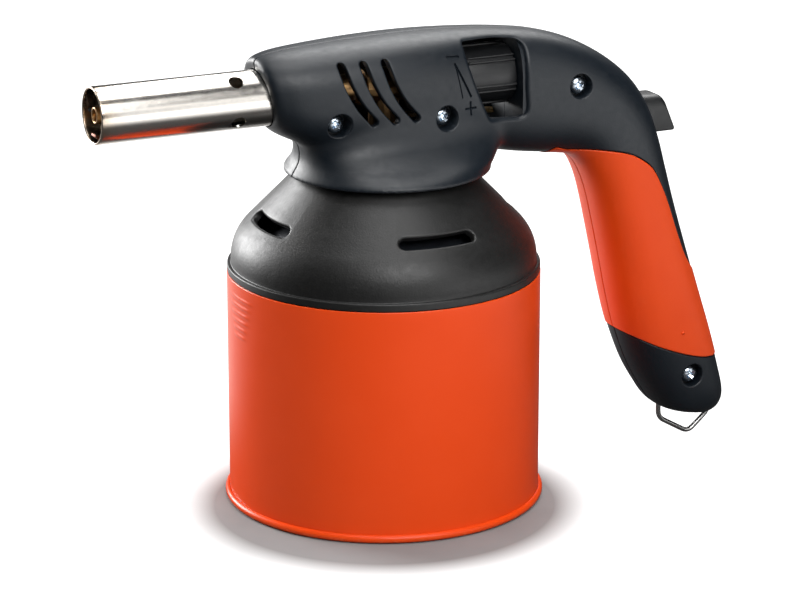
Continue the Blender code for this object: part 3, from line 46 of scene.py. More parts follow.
HALF_WIDTH, WALL = 0.0168, 0.0023
COLLAR_RADIUS, COLLAR_SHIFT = 0.03085, 0.0012
DOME_FOOT_Z, DOME_TOP_Z, COLLAR_Z = 0.0704, 0.1040, 0.1002
GAP = 0.0003
# Half the length of a cutter that goes right through the head
THROUGH = 0.03
SHARP_ANGLE = radians(32)
SPLIT_GAP = 0.00022
VOXEL = 0.0005
# Just under one, so that the smoothed skin stays inside the box of the solids
SKIN_SHRINK = 0.9998
# The region where neck and head meet, its fillet's reach, and the softened ends of nose and foot
FILLET_BACK, FILLET_LOW, FILLET_HIGH, FILLET_REACH = 0.050, COLLAR_Z - 0.002, COLLAR_Z + 0.024, 0.007
END_REACH, NOSE_LOW, FOOT_END = 0.004, COLLAR_Z + 0.014, COLLAR_Z - HANDLE_DROP * 0.93
FINE = 192

# The housing from nose to foot: upper edge, lower edge, half width and squareness, in shares
HOUSING_ROWS = (
    (-0.952, 0.890, -0.862, 0.408, 0.66, 2.2),
    (-0.905, 0.922, -0.793, 0.352, 0.75, 2.3),
    (-0.759, 0.950, -0.644, 0.282, 0.88, 2.5),
    (-0.460, 0.973, -0.414, 0.233, 0.97, 2.7),
    (-0.115, 0.990, -0.115, 0.209, 1.00, 2.8),
    (0.085, 0.996, 0.077, 0.184, 0.96, 2.8),
    (0.214, 0.985, 0.205, 0.126, 0.84, 2.8),
    (0.325, 0.959, 0.316, 0.060, 0.79, 2.8),
    (0.427, 0.913, 0.406, 0.020, 0.79, 2.8),
    (0.526, 0.823, 0.465, 0.002, 0.81, 2.7),
    (0.614, 0.684, 0.513, -0.012, 0.83, 2.6),
    (0.686, 0.510, 0.541, -0.043, 0.84, 2.5),
    (0.734, 0.306, 0.560, -0.085, 0.85, 2.5),
    (0.765, 0.075, 0.576, -0.136, 0.86, 2.5),
    (0.789, -0.077, 0.591, -0.206, 0.86, 2.5),
    (0.819, -0.217, 0.607, -0.295, 0.87, 2.5),
    (0.857, -0.376, 0.626, -0.407, 0.88, 2.5),
    (0.897, -0.536, 0.646, -0.530, 0.88, 2.5),
    (0.936, -0.687, 0.672, -0.659, 0.86, 2.5),
    (0.967, -0.821, 0.713, -0.799, 0.82, 2.5),
    (0.986, -0.925, 0.758, -0.900, 0.78, 2.5),
    (0.978, -0.980, 0.785, -0.950, 0.70, 2.4),
    (0.952, -1.007, 0.812, -0.978, 0.55, 2.3),
)
# The neck upwards: height, reach forwards and backwards, half width, squareness
NECK_ROWS = (
    (0.010, 1.000, 1.000, 0.985, 2.0),
    (0.032, 1.000, 1.000, 0.985, 2.0),
    (0.055, 0.985, 1.010, 0.960, 2.0),
    (0.087, 0.955, 1.050, 0.890, 2.1),
    (0.136, 0.925, 1.100, 0.760, 2.3),
    (0.197, 0.915, 1.150, 0.650, 2.5),
    (0.257, 0.930, 1.200, 0.580, 2.6),
    (0.330, 0.960, 1.220, 0.542, 2.7),
    (0.427, 0.930, 1.180, 0.528, 2.7),
    (0.524, 0.850, 1.000, 0.480, 2.7),
)
# The grip cover's upper and lower edge in side view, in shares
GRIP_TOP = (
    (0.420, -0.030), (0.449, 0.068), (0.487, 0.046), (0.566, 0.034), (0.639, -0.002),
    (0.684, -0.032), (0.721, -0.077), (0.762, -0.181), (0.797, -0.304), (0.833, -0.407),
    (0.889, -0.469), (1.020, -0.520),
)
GRIP_FOOT = (
    (1.030, -0.792), (0.926, -0.782), (0.849, -0.761), (0.757, -0.718), (0.678, -0.671),
    (0.598, -0.629), (0.500, -0.560),
)
GRIP_PROUD, GRIP_THICKNESS = 0.0003, 0.0013
GRIP_DOT, GRIP_DOT_RADIUS = (0.0951, 0.0406), 0.0006
# How far the skin rolls in at the split and at each kind of opening
SPLIT_ROLL, WINDOW_ROLL, POCKET_ROLL, SLOT_ROLL, BORE_ROLL = 0.0007, 0.0013, 0.0003, 0.0005, 0.0004
GRIP_SPLIT_ROLL, GRIP_ROLL = 0.0006, 0.00035
# The share of its radius at which a roll ends, just before it would stand upright
STEEPEST = 0.97
# Inner ribs: their wall, the X of the burner's one, and how far a cutter starts before and goes on
RIB_WALL, BURNER_RIB_X, BEFORE, BEYOND = 0.0016, 0.0090 - NOSE_REACH, 0.004, 0.006
SPINDLE_RADIUS, PIEZO_HALF_WIDTH, PIEZO_HALF_HEIGHT = 0.0020, 0.0053, 0.0043
RING_BORE, RING_TOP = 0.0148, DOME_TOP_Z + 0.0030
# Corners of the wheel's window, and the radius of each, where 0.05 is all that its edges allow
WINDOW = (
    (0.1775, 0.930), (0.2675, 0.931), (0.3520, 0.900), (0.3475, 0.550), (0.3545, 0.345),
    (0.2433, 0.367), (0.2223, 0.496), (0.1955, 0.673), (0.1785, 0.838),
)
WINDOW_CORNERS = (0.0009, 0.05, 0.0036, 0.05, 0.0034, 0.0022, 0.05, 0.05, 0.05)
SLOT_START, SLOT_PITCH, SLOT_WIDTH = (-0.449, 0.862), 0.0067, 0.0023
SLOT_LENGTH, SLOT_DEPTH = 0.0092, 0.0168
SLOT_PATH = ((0.0, 0.0), (0.16, -0.34), (0.52, -0.70), (1.0, -1.0))
SCREW_TAIL_INSET, SCREW_MIXER_DROP, VALVE_RADIUS = 0.0037, 0.0072, 0.0052
SCREW_VALVE, SCREW_HANDLE = 0.113, ((0.503, 0.532), (0.851, -0.832))
SCREW_SINKS = (0.0054, 0.0054, 0.0040, 0.0040)
COUNTERBORE, SCREW_HEAD, SCREW_TOP = 0.00365, 0.00275, 0.0029
SHANK, SCREW_REACH, BOSS_CORE = 0.0015, 0.0080, 0.0028
BURNER_Z = COLLAR_Z + 0.626 * HEAD_HEIGHT
BURNER_RADIUS, BURNER_INNER, BURNER_MOUTH, BURNER_TAIL = 0.0084, 0.0077, 0.0910, 0.0245
MIXER_RADIUS, MIXER_BORE, BELL_RADIUS = 0.00245, 0.0018, 0.0042
AIR_HOLE, AIR_HOLE_STEP, AIR_HOLE_TURN = 0.0022, 0.0054, 37.5
INSULATOR_OFFSET, INSULATOR_RADIUS = (BURNER_INNER + MIXER_RADIUS) / 2, 0.0016
INSULATOR_LOW, INSULATOR_HIGH = -BURNER_MOUTH + 0.0072, -BURNER_TAIL - GAP + 0.0010
WHEEL_X, WHEEL_LENGTH, WHEEL_RADIUS = 0.0242, 0.0155, 0.0086
BUTTON_Z = COLLAR_Z + 0.204 * HEAD_HEIGHT
BUTTON_HEIGHT, BUTTON_HALF, BUTTON_PROUD, BUTTON_ROOT = 0.0116, 0.0060, 0.0070, 0.0055
BUTTON_TRAVEL, BUTTON_ROUND, PLUNGER_RADIUS = 0.0050, 0.0036, 0.0022
# In side view from the lower root corner round: corner radii, and how far each edge draws in
BUTTON_RADII, BUTTON_INSETS = (0.0012, 0.0012, 0.0036, 0.0012), (0.0008, 0.0012, 0.0036, 0.0012)
LOOP_SHARES = (0.815, 0.9705)
LOOP_WIRE, LOOP_DROP, LOOP_PIN, LOOP_BEND = 0.00078, 0.0158, 0.0042, 0.0024
LOOP_SPAN = (LOOP_SHARES[1] - LOOP_SHARES[0]) * HANDLE_REACH
# Control marks: the ends of each groove in side view, and its half width
MARKS = (
    ((0.0138, 0.1355), (0.0182, 0.1352), 0.00040), ((0.0163, 0.1335), (0.0217, 0.1230), 0.00038),
    ((0.0163, 0.1335), (0.0187, 0.12295), 0.00022), ((0.0194, 0.1197), (0.0234, 0.1197), 0.00036),
    ((0.0214, 0.1218), (0.0214, 0.1176), 0.00036),
)


def along(share):
    """The X of a share of the reach, forwards if negative."""
    return share * (HANDLE_REACH if share > 0 else NOSE_REACH)


def level(share):
    """The Z of a share of the head's height, or of the handle's drop if negative."""
    return COLLAR_Z + share * (HEAD_HEIGHT if share > 0 else HANDLE_DROP)


# Mesh building

def link(name, mesh):
    made = bpy.data.objects.new(name, mesh)
    bpy.context.scene.collection.objects.link(made)
    return made


def solid(name, points, faces):
    mesh = bpy.data.meshes.new(name)
    mesh.from_pydata([tuple(p) for p in points], [], faces)
    work = bmesh.new()
    work.from_mesh(mesh)
    bmesh.ops.recalc_face_normals(work, faces=work.faces)
    work.to_mesh(mesh)
    work.free()
    return link(name, mesh)


def loft(name, rings):
    count, last = len(rings[0]), (len(rings) - 1) * len(rings[0])
    faces = []
    for low in range(0, last, count):
        for k in range(count):
            after = (k + 1) % count
            faces.append((low + k, low + after, low + count + after, low + count + k))
    faces.append(tuple(range(count))[::-1])
    faces.append(tuple(range(last, last + count)))
    return solid(name, [p for ring in rings for p in ring], faces)


def turned(name, profile, segments=96, push=None):
    """A closed profile of radius and height points, taken round Z. A push moves each radius."""
    points, rows = [], []
    for radius, height in profile:
        if radius == 0:
            rows.append([len(points)] * segments)
            points.append((0, 0, height))
            continue
        rows.append(list(range(len(points), len(points) + segments)))
        for k in range(segments):
            angle = tau * k / segments
            r = radius + (push(angle, height) if push else 0)
            points.append((r * cos(angle), r * sin(angle), height))
    faces = []
    for row, low in enumerate(rows):
        high = rows[(row + 1) % len(rows)]
        for k in range(segments):
            after = (k + 1) % segments
            corners = [low[k], low[after], high[after], high[k]]
            ring = [c for i, c in enumerate(corners) if c != corners[i - 1]]
            if len(ring) > 2:
                faces.append(ring)
    return solid(name, points, faces)


def prism(name, outline, low, high):
    return loft(name, [[(x, y, z) for x, z in outline] for y in (low, high)])


def oblong(left, right, low, high):
    return [(left, low), (right, low), (right, high), (left, high)]


def box(name, low, high):
    return prism(name, oblong(low[0], high[0], low[2], high[2]), low[1], high[1])


def placed(made, matrix):
    made.data.transform(matrix)
    return made


def rod(name, start, end, radius, segments=48):
    start, end = Vector(start), Vector(end)
    length = (end - start).length
    made = turned(name, ((0, 0), (radius, 0), (radius, length), (0, length)), segments)
    turn = (end - start).to_track_quat("Z", "Y").to_matrix().to_4x4()
    return placed(made, Matrix.Translation(start) @ turn)


def rod_x(name, low, high, radius, y=0, z=BURNER_Z, segments=48):
    return rod(name, (low, y, z), (high, y, z), radius, segments)


def rod_y(name, x, z, low, high, radius, segments=48):
    return rod(name, (x, low, z), (x, high, z), radius, segments)


def on_side(made, x, y, z):
    """Lays a piece that was turned round Z so that its top faces the near side."""
    return placed(made, Matrix.Translation((x, y, z)) @ Matrix.Rotation(pi / 2, 4, "X"))


def apply_modifiers(made):
    graph = bpy.context.evaluated_depsgraph_get()
    made.data = bpy.data.meshes.new_from_object(made.evaluated_get(graph))
    made.modifiers.clear()


def combine(target, tool, operation):
    modifier = target.modifiers.new(operation, "BOOLEAN")
    modifier.operation, modifier.solver, modifier.object = operation, "MANIFOLD", tool
    apply_modifiers(target)
    bpy.data.objects.remove(tool)
    return target


def cut(target, *tools):
    for tool in tools:
        combine(target, tool, "DIFFERENCE")
    return target


def join(target, *tools):
    for tool in tools:
        combine(target, tool, "UNION")
    return target


def keep_within(target, tool):
    return combine(target, tool, "INTERSECT")


def copy_of(made, name):
    return link(name, made.data.copy())


def curve_through(rows, steps):
    rows = [np.array(row, float) for row in rows]
    fine = []
    for k in range(len(rows) - 1):
        a, b = rows[max(k - 1, 0)], rows[k]
        c, d = rows[k + 1], rows[min(k + 2, len(rows) - 1)]
        for step in range(steps):
            t = step / steps
            fine.append(b + t * (c - a) / 2 + t ** 2 * (2 * a - 5 * b + 4 * c - d) / 2
                        + t ** 3 * (3 * b - a - 3 * c + d) / 2)
    fine.append(rows[-1])
    return fine


def bend(before, corner, after, reach, steps):
    """A soft corner that leaves both sides at the same reach."""
    first = corner + (before - corner).normalized() * reach
    last = corner + (after - corner).normalized() * reach
    return [first * (1 - t) ** 2 + corner * 2 * t * (1 - t) + last * t ** 2
            for t in (step / steps for step in range(steps + 1))]


def fillet(points, radii, steps=8):
    rounded = []
    for k, radius in enumerate(radii):
        before, corner, after = (Vector(points[j % len(points)]) for j in (k - 1, k, k + 1))
        half = (before - corner).angle(after - corner) / 2
        reach = min(radius / tan(half), (before - corner).length / 2.1, (after - corner).length / 2.1)
        rounded += [tuple(p) for p in bend(before, corner, after, reach, steps)]
    return rounded


def arc(centre, radius, first, last, steps=8):
    """Points of an arc between two angles in degrees."""
    angles = [radians(first + (last - first) * k / steps) for k in range(steps + 1)]
    return [(centre[0] + radius * cos(a), centre[1] + radius * sin(a)) for a in angles]


def squared_ring(count, power):
    pairs = [(cos(tau * k / count), sin(tau * k / count)) for k in range(count)]
    return [[copysign(abs(s) ** (2 / power), s) for s in pair] for pair in pairs]


def headings(path):
    """The unit direction at each point of a path."""
    return [(path[min(k + 1, len(path) - 1)] - path[max(k - 1, 0)]).normalized()
            for k in range(len(path))]


def wire(name, path, radius, sides=20):
    path = [Vector(p) for p in path]
    normal = Vector((0, 1, 0))
    rings = []
    for point, forward in zip(path, headings(path)):
        normal = (normal - forward * normal.dot(forward)).normalized()
        side = forward.cross(normal)
        rings.append([point + radius * (cos(a) * normal + sin(a) * side)
                      for a in (tau * i / sides for i in range(sides))])
    return loft(name, rings)


def to_burner(made):
    return placed(made, Matrix.Translation((0, 0, BURNER_Z)) @ Matrix.Rotation(pi / 2, 4, "Y"))


def array_of(items, name):
    values = np.zeros(len(items) * 3)
    items.foreach_get(name, values)
    return values.reshape(-1, 3)


def points_of(made):
    return array_of(made.data.vertices, "co")


def put_points(made, co):
    made.data.vertices.foreach_set("co", np.ascontiguousarray(co, np.float64).reshape(-1))
    made.data.update()
    return made


# The housing's skin

def head_and_handle(name, inset, sides, steps):
    rows = [(along(tx), level(tz), along(lx), level(lz), w * HALF_WIDTH, p)
            for tx, tz, lx, lz, w, p in HOUSING_ROWS]
    rows = np.array(curve_through(rows, steps))
    if inset > 0:
        middles = (rows[:, :2] + rows[:, 2:4]) / 2
        lengths = np.linalg.norm(np.diff(middles, axis=0), axis=1)
        travel = np.concatenate([[0], np.cumsum(lengths)])
        wanted = [inset, *[t for t in travel if inset * 1.3 < t < travel[-1] - inset * 1.3],
                  travel[-1] - inset]
        rows = np.stack([np.interp(wanted, travel, column) for column in rows.T], axis=1)
    rings = []
    for tx, tz, lx, lz, width, power in rows:
        middle = np.array((tx + lx, tz + lz)) / 2
        half = np.array((tx - lx, tz - lz)) / 2
        half *= 1 - inset / np.linalg.norm(half)
        rings.append([(middle[0] + half[0] * u, (width - inset) * v, middle[1] + half[1] * u)
                      for u, v in squared_ring(sides, power)])
    return loft(name, rings)


def neck(name, inset, sides, steps):
    rings = []
    for height, front, back, width, power in curve_through(NECK_ROWS, steps):
        middle = COLLAR_SHIFT + (back - front) / 2 * COLLAR_RADIUS
        length = (back + front) / 2 * COLLAR_RADIUS - inset
        z = level(height) - (inset * 2 if not rings and inset > 0 else 0)
        rings.append([(middle + length * u, (width * COLLAR_RADIUS - inset) * v, z)
                      for u, v in squared_ring(sides, power)])
    return loft(name, rings)


def hollow(name, inset):
    return join(head_and_handle(name, inset, 32, 2), neck("neck", inset, 48, 2))


def relax(made, weights, rounds, factor=0.5):
    """Laplacian smoothing where the weights are above zero."""
    co = points_of(made)
    pairs = np.zeros(len(made.data.edges) * 2, np.int32)
    made.data.edges.foreach_get("vertices", pairs)
    pairs = pairs.reshape(-1, 2)
    pairs = pairs[(weights[pairs[:, 0]] > 0) | (weights[pairs[:, 1]] > 0)]
    count = np.bincount(pairs.reshape(-1), minlength=len(co)).astype(float)
    live = np.nonzero((weights > 0) & (count > 0))[0]
    for _ in range(rounds):
        total = np.stack([np.bincount(pairs[:, 0], co[pairs[:, 1], k], len(co))
                          + np.bincount(pairs[:, 1], co[pairs[:, 0], k], len(co))
                          for k in range(3)], axis=1)
        mean = total[live] / count[live, None]
        co[live] += (mean - co[live]) * (weights[live, None] * factor)
    return put_points(made, co)


def nearest_distance(tree, co):
    return np.array([tree.find_nearest(Vector(p))[3] for p in co])


def fade(distance, reach):
    """1 at no distance, down to 0 at the reach."""
    return np.clip(1 - distance / reach, 0, 1)


def outer_skin():
    """Head, handle and neck as one smooth skin, with a soft fillet where they meet."""
    head = head_and_handle("skin", 0, 72, 5)
    flare = neck("flare", 0, 120, 5)
    trees = [surface_of(made) for made in (head, flare)]
    join(head, flare)
    modifier = head.modifiers.new("remesh", "REMESH")
    modifier.mode = "VOXEL"
    modifier.voxel_size = VOXEL
    apply_modifiers(head)
    co = points_of(head)
    relax(head, np.ones(len(co)), 3)
    x, _, z = co.T
    chosen = np.nonzero((x < FILLET_BACK) & (z > FILLET_LOW) & (z < FILLET_HIGH))[0]
    weights = np.zeros(len(co))
    far = np.maximum(*[nearest_distance(tree, co[chosen]) for tree in trees])
    weights[chosen] = fade(far, FILLET_REACH) ** 0.7
    relax(head, weights, 70)
    nose = (along(HOUSING_ROWS[0][0]) + along(HOUSING_ROWS[0][2])) / 2
    ends = fade(np.abs(x - nose), END_REACH) * (z > NOSE_LOW)
    ends = np.maximum(ends, np.clip((FOOT_END - z) / END_REACH, 0, 1))
    relax(head, ends, 14)
    co = points_of(head)
    co[:, 0] *= SKIN_SHRINK
    co[:, 2] = COLLAR_Z + (co[:, 2] - COLLAR_Z) * SKIN_SHRINK
    return put_points(head, co)


def offset(made, name, distance):
    other = copy_of(made, name)
    return put_points(other, points_of(other) + array_of(other.data.vertex_normals, "vector") * distance)


def outline_distance(flat, outline):
    """Signed distance of flat points to a closed outline, negative inside."""
    shape = np.array(outline)
    best = np.full(len(flat), 1.0)
    inside = np.zeros(len(flat), bool)
    for a, b in zip(shape, np.roll(shape, -1, axis=0)):
        edge = b - a
        t = np.clip(((flat - a) @ edge) / max(edge @ edge, 1e-18), 0, 1)
        best = np.minimum(best, np.linalg.norm(flat - (a + t[:, None] * edge), axis=1))
        crosses = (a[1] > flat[:, 1]) != (b[1] > flat[:, 1])
        rise = edge[1] if abs(edge[1]) > 1e-12 else 1e-12
        inside ^= crosses & (flat[:, 0] < a[0] + (flat[:, 1] - a[1]) * edge[0] / rise)
    return np.where(inside, -best, best)


def away_from(co, roll, keeps_inside):
    """How far each point is from a roll's edge, on the side that stays."""
    outline, side, _ = roll
    if outline is None:
        return np.abs(co[:, 1])
    away = np.full(len(co), 1.0)
    shape, margin, core = np.array(outline), 0.003, 0.002
    near = co[:, 1] * side > core
    for axis, column in ((0, 0), (2, 1)):
        near &= (co[:, axis] > shape[:, column].min() - margin)
        near &= (co[:, axis] < shape[:, column].max() + margin)
    distance = outline_distance(co[near][:, [0, 2]], outline)
    away[near] = -distance if keeps_inside else distance
    return away


def refine_near(made, chosen):
    work = bmesh.new()
    work.from_mesh(made.data)
    work.verts.ensure_lookup_table()
    edges = [e for e in work.edges if chosen[e.verts[0].index] and chosen[e.verts[1].index]]
    bmesh.ops.subdivide_edges(work, edges=edges, cuts=1, use_grid_fill=True)
    bmesh.ops.triangulate(work, faces=[f for f in work.faces if len(f.verts) > 4])
    work.to_mesh(made.data)
    work.free()


def roll_edges(made, rolls, keeps_inside=False):
    """Rounds the skin in towards each roll's outline, as the rim of a moulded opening is.

    A roll is an outline in side view (none for the split), a side and a radius.
    """
    for _ in range(2):
        co = points_of(made)
        chosen = np.zeros(len(co), bool)
        for roll in rolls:
            away = away_from(co, roll, keeps_inside)
            chosen |= (away > -VOXEL) & (away < roll[2] + VOXEL)
        refine_near(made, chosen)
    co, normals = points_of(made), array_of(made.data.vertex_normals, "vector")
    for roll in rolls:
        radius = roll[2]
        share = np.minimum(fade(away_from(co, roll, keeps_inside), radius), STEEPEST)
        sink = radius * (1 - np.sqrt(1 - share ** 2))
        if roll[0] is None:
            co -= normals * (sink * 0.5)[:, None]
        else:
            co[:, 1] -= roll[1] * sink
    return put_points(made, co)


def side_outline(shares):
    return [(along(x), level(z)) for x, z in shares]


def slot_outlines():
    """The three slanted slots in side view, each swept along a bent path with round ends."""
    shapes = []
    start = np.array(side_outline([SLOT_START])[0])
    path = np.array(curve_through(SLOT_PATH, 6)) * (SLOT_LENGTH, SLOT_DEPTH)

    def end(first, last):
        middle, arm = (first + last) / 2, (first - last) / 2
        across = Vector((arm.y, -arm.x))
        return [middle + arm * cos(pi * k / 8) + across * sin(pi * k / 8) for k in range(1, 8)]

    for number in range(3):
        line = [Vector(start + point + (number * SLOT_PITCH, 0)) for point in path]
        left, right = [], []
        for point, heading in zip(line, headings(line)):
            side = Vector((-heading.y, heading.x)) * SLOT_WIDTH / 2
            left.append(point + side)
            right.append(point - side)
        outline = left + end(left[-1], right[-1]) + right[::-1] + end(right[0], left[0])
        shapes.append([tuple(p) for p in outline])
    return shapes


def grip_outline(grow):
    return [tuple(Vector(p) + Vector((0, lift)))
            for shares, lift in ((GRIP_TOP, -grow), (GRIP_FOOT, grow))
            for p in curve_through(side_outline(shares), 5)]


def groove(surface, start, end, half, steps=8):
    """A V-shaped cutter along a line in side view, which follows the skin."""
    start, end, lift = Vector(start), Vector(end), 0.0004
    side = Vector((start.y - end.y, end.x - start.x)).normalized()
    rings = []
    for k in range(steps + 1):
        spot = start.lerp(end, k / steps)
        skin = -depth_at(surface, *spot)
        wide = side * (half + lift * 0.7)
        edges = [(p.x, skin - lift, p.y) for p in (spot + wide, spot - wide)]
        rings.append([*edges, (spot.x, skin + half * 1.4, spot.y)])
    return loft("mark", rings)


def back_x(z):
    """The X of the handle's back edge at a height."""
    rows = [(level(row[1]), along(row[0])) for row in HOUSING_ROWS[::-1] if row[0] > 0]
    return float(np.interp(z, *zip(*rows)))


BUTTON_X = back_x(BUTTON_Z) - BUTTON_ROOT
LOOP_FRONT = Vector((along(LOOP_SHARES[0]), 0, level(-0.945) + WALL))


def surface_of(made):
    return BVHTree.FromObject(made, bpy.context.evaluated_depsgraph_get())


def depth_at(surface, x, z):
    """How far out the -Y side is at a place in side view."""
    return -surface.ray_cast(Vector((x, -0.1, z)), Vector((0, 1, 0)))[0].y


def screw_places(surface):
    """X, Z and the depth of the underside of each screw's head."""
    spots = [(SCREW_TAIL_INSET - BURNER_TAIL, BURNER_Z - SCREW_MIXER_DROP),
             (along(SCREW_VALVE), BURNER_Z - VALVE_RADIUS - GAP - BOSS_CORE),
             *side_outline(SCREW_HANDLE)]
    return [(x, z, depth_at(surface, x, z) - sink) for (x, z), sink in zip(spots, SCREW_SINKS)]


def boss(place):
    x, z, seat = place
    wide, near, far = COUNTERBORE + 0.001, seat - 0.0015, 0.034
    made = turned("boss", ((0, -far), (BOSS_CORE, -far), (BOSS_CORE, near), (wide, near),
                           (wide, far), (0, far)), 48)
    return on_side(made, x, 0, z)


def rib(x, low, high, cutter):
    """A rib across the head, cut to what it holds."""
    return cut(box("rib", (x, -0.1, low), (x + RIB_WALL, 0.1, high)), cutter)


def inner_frame(places):
    """Bosses, ribs and seats inside the shells."""
    made = join(*[boss(place) for place in places])
    for x, radius in ((BURNER_RIB_X, BURNER_RADIUS), (WHEEL_X + WHEEL_LENGTH + GAP, SPINDLE_RADIUS)):
        bore = rod_x("bore", x - BEFORE, x + BEYOND, radius + GAP)
        join(made, rib(x, level(0.12), level(1), bore))
    join(made, turned("ring", oblong(RING_BORE, 0.06, DOME_TOP_Z + GAP, RING_TOP), 64))
    for step in (0.012, 0.0046):
        x = BUTTON_X - BUTTON_TRAVEL - GAP - step
        seat = box("seat", (x - BEFORE, -PIEZO_HALF_WIDTH, BUTTON_Z - PIEZO_HALF_HEIGHT),
                   (x + BEYOND, PIEZO_HALF_WIDTH, BUTTON_Z + PIEZO_HALF_HEIGHT))
        join(made, rib(x, BUTTON_Z - 0.012, BUTTON_Z + 0.0056, seat))
    for start in (LOOP_WIRE + GAP, LOOP_SPAN - LOOP_WIRE - GAP - RIB_WALL):
        x, z = LOOP_FRONT.x + start, LOOP_FRONT.z
        pin = rod_x("pin", x - BEFORE, x + BEYOND, LOOP_WIRE + GAP, z=z)
        join(made, rib(x, z - 0.05, z + LOOP_WIRE + RIB_WALL, pin))
    return keep_within(made, hollow("trim", WALL / 2))


def wheel_guard():
    """A rib in the right shell that hangs from its roof behind the wheel."""
    near, low = WHEEL_RADIUS * 0.79, BURNER_Z + WHEEL_RADIUS * 0.78
    guard = box("guard", (WHEEL_X - 0.004, near, low),
                (WHEEL_X + WHEEL_LENGTH + 0.001, near + RIB_WALL, level(1)))
    return keep_within(guard, hollow("trim", WALL / 2))


def loop_slots():
    half = LOOP_WIRE + GAP
    swing = radians(25)
    near, drop = half / cos(swing), WALL + 0.008
    wide = near + drop * tan(swing)
    outline = ((-near, half), (-near, 0), (-wide, -drop), (wide, -drop), (near, 0), (near, half))
    return [loft("leg_slot", [[(LOOP_FRONT.x + start + side, y, LOOP_FRONT.z + z)
                               for y, z in outline] for side in (-half, half)])
            for start in (0, LOOP_SPAN)]


def halves(made, left_name, right_name):
    """A moulding parted at the middle plane, with half the split's gap on each side."""
    far, edge = 0.3, SPLIT_GAP / 2
    left = keep_within(copy_of(made, left_name), box("half", (-far, -far, -far), (far, -edge, far)))
    right = keep_within(made, box("half", (-far, edge, -far), (far, far, far)))
    right.name = right_name
    return left, right


def make_housing():
    smooth = outer_skin()
    surface = surface_of(smooth)
    places = screw_places(surface)
    window = fillet(side_outline(WINDOW), WINDOW_CORNERS)
    slots = slot_outlines()
    area = grip_outline(0)
    rolls = [(None, 1, SPLIT_ROLL)]
    for side in (-1, 1):
        rolls += [(window, side, WINDOW_ROLL), (area, side, POCKET_ROLL)]
        rolls += [(slot, side, SLOT_ROLL) for slot in slots]
    rolls += [(arc((x, z), COUNTERBORE, 0, 360, 48), -1, BORE_ROLL) for x, z, _ in places]
    shell = roll_edges(copy_of(smooth, "shell"), rolls)
    cut(shell, hollow("hollow", WALL))
    cut(shell, *[prism("opening", outline, -THROUGH, THROUGH) for outline in (window, *slots)])
    join(shell, inner_frame(places))
    cut(shell, rod_x("mouth", -NOSE_REACH - 0.004, -BURNER_TAIL, BURNER_RADIUS + GAP, segments=96))
    side, rise = BUTTON_HALF + GAP, BUTTON_HEIGHT / 2 + GAP
    cut(shell, box("button_hole", (BUTTON_X - BUTTON_TRAVEL - GAP, -side, BUTTON_Z - rise),
                   (HANDLE_REACH, side, BUTTON_Z + rise)), *loop_slots())
    pocket = keep_within(offset(smooth, "pocket", 0.0006), prism("area", area, -THROUGH, THROUGH))
    cut(shell, cut(pocket, offset(smooth, "floor", -GRIP_THICKNESS)))
    for start, end, half in MARKS:
        cut(shell, groove(surface, start, end, half))
    left, right = halves(shell, "head_shell_left", "head_shell_right")
    join(right, wheel_guard())
    for x, z, seat in places:
        cut(left, rod_y("counterbore", x, z, -THROUGH, -seat + GAP, COUNTERBORE),
            rod_y("hole", x, z, -THROUGH, 0.004, SHANK + GAP, 24))
        cut(right, rod_y("pilot", x, z, -0.004, SCREW_REACH + GAP, SHANK + GAP, 24))
    covers = make_grips(smooth)
    bpy.data.objects.remove(smooth)
    return left, right, covers, places


def make_grips(smooth):
    area = grip_outline(GAP)
    rolls = [(None, 1, GRIP_SPLIT_ROLL), (area, -1, GRIP_ROLL), (area, 1, GRIP_ROLL)]
    cover = roll_edges(offset(smooth, "cover", GRIP_PROUD), rolls, True)
    keep_within(cover, prism("area", area, -THROUGH, THROUGH))
    cut(cover, offset(smooth, "back", -(GRIP_THICKNESS - GAP)))
    left, right = halves(cover, "soft_grip_left", "soft_grip_right")
    x, z = GRIP_DOT
    skin = depth_at(surface_of(left), x, z)
    dot = turned("dot", ((0, -0.0005), (0.00085, -0.0005), *arc((0, 0), GRIP_DOT_RADIUS, 0, 80, 5)),
                 24)
    join(left, on_side(dot, x, -skin + 0.0001, z))
    return left, right


# Cup, cartridge and dome

GRIP_RIBS, RIB_TOP, RIB_PITCH, RIB_HALF_HEIGHT, RIB_RISE = 6, 0.004, 0.0023, 0.00095, 0.0002
RIB_WIDTH, RIB_LAST_WIDTH = 0.0165, 0.0078
BEAD_LOW, BEAD_HIGH, BEAD_SLOPE, BEAD_RISE = 0.034, 0.042, 0.0012, 0.0008


def rib_push(angle, height):
    """How far the pressed grip ribs stand out of the cup's wall."""
    turn = min(abs((angle - side + pi) % tau - pi) for side in (0, pi))
    rise = 0
    for number in range(GRIP_RIBS):
        centre = CUP_HEIGHT - RIB_TOP - number * RIB_PITCH
        half = (RIB_WIDTH + (RIB_LAST_WIDTH - RIB_WIDTH) * number / (GRIP_RIBS - 1)) / 2
        across, up = turn * CUP_RADIUS / half, abs(height - centre) / RIB_HALF_HEIGHT
        if across < 1 and up < 1:
            rise += RIB_RISE * (1 - across ** 6) * (0.5 + 0.5 * cos(pi * up))
    return rise


def make_cup():
    inner, step, edge = CUP_RADIUS - CUP_WALL, 0.0002, CUP_WALL / 2
    rib_top, rib_foot = CUP_HEIGHT - 0.0028, CUP_HEIGHT - 0.017
    heights = [0.0015, 0.006, 0.02, 0.04, *np.arange(rib_foot, rib_top, step), CUP_HEIGHT - edge]
    profile = [(inner, 0.0009), (CUP_RADIUS + 0.0001, 0.0009), (CUP_RADIUS + 0.0001, 0.0015),
               *[(CUP_RADIUS, z) for z in heights],
               *arc(((inner + CUP_RADIUS) / 2, CUP_HEIGHT - edge), edge, 10, 170, 6),
               *[(inner, z) for z in heights[::-1]]]
    return turned("cup_wall", profile, FINE + FINE // 4, rib_push)


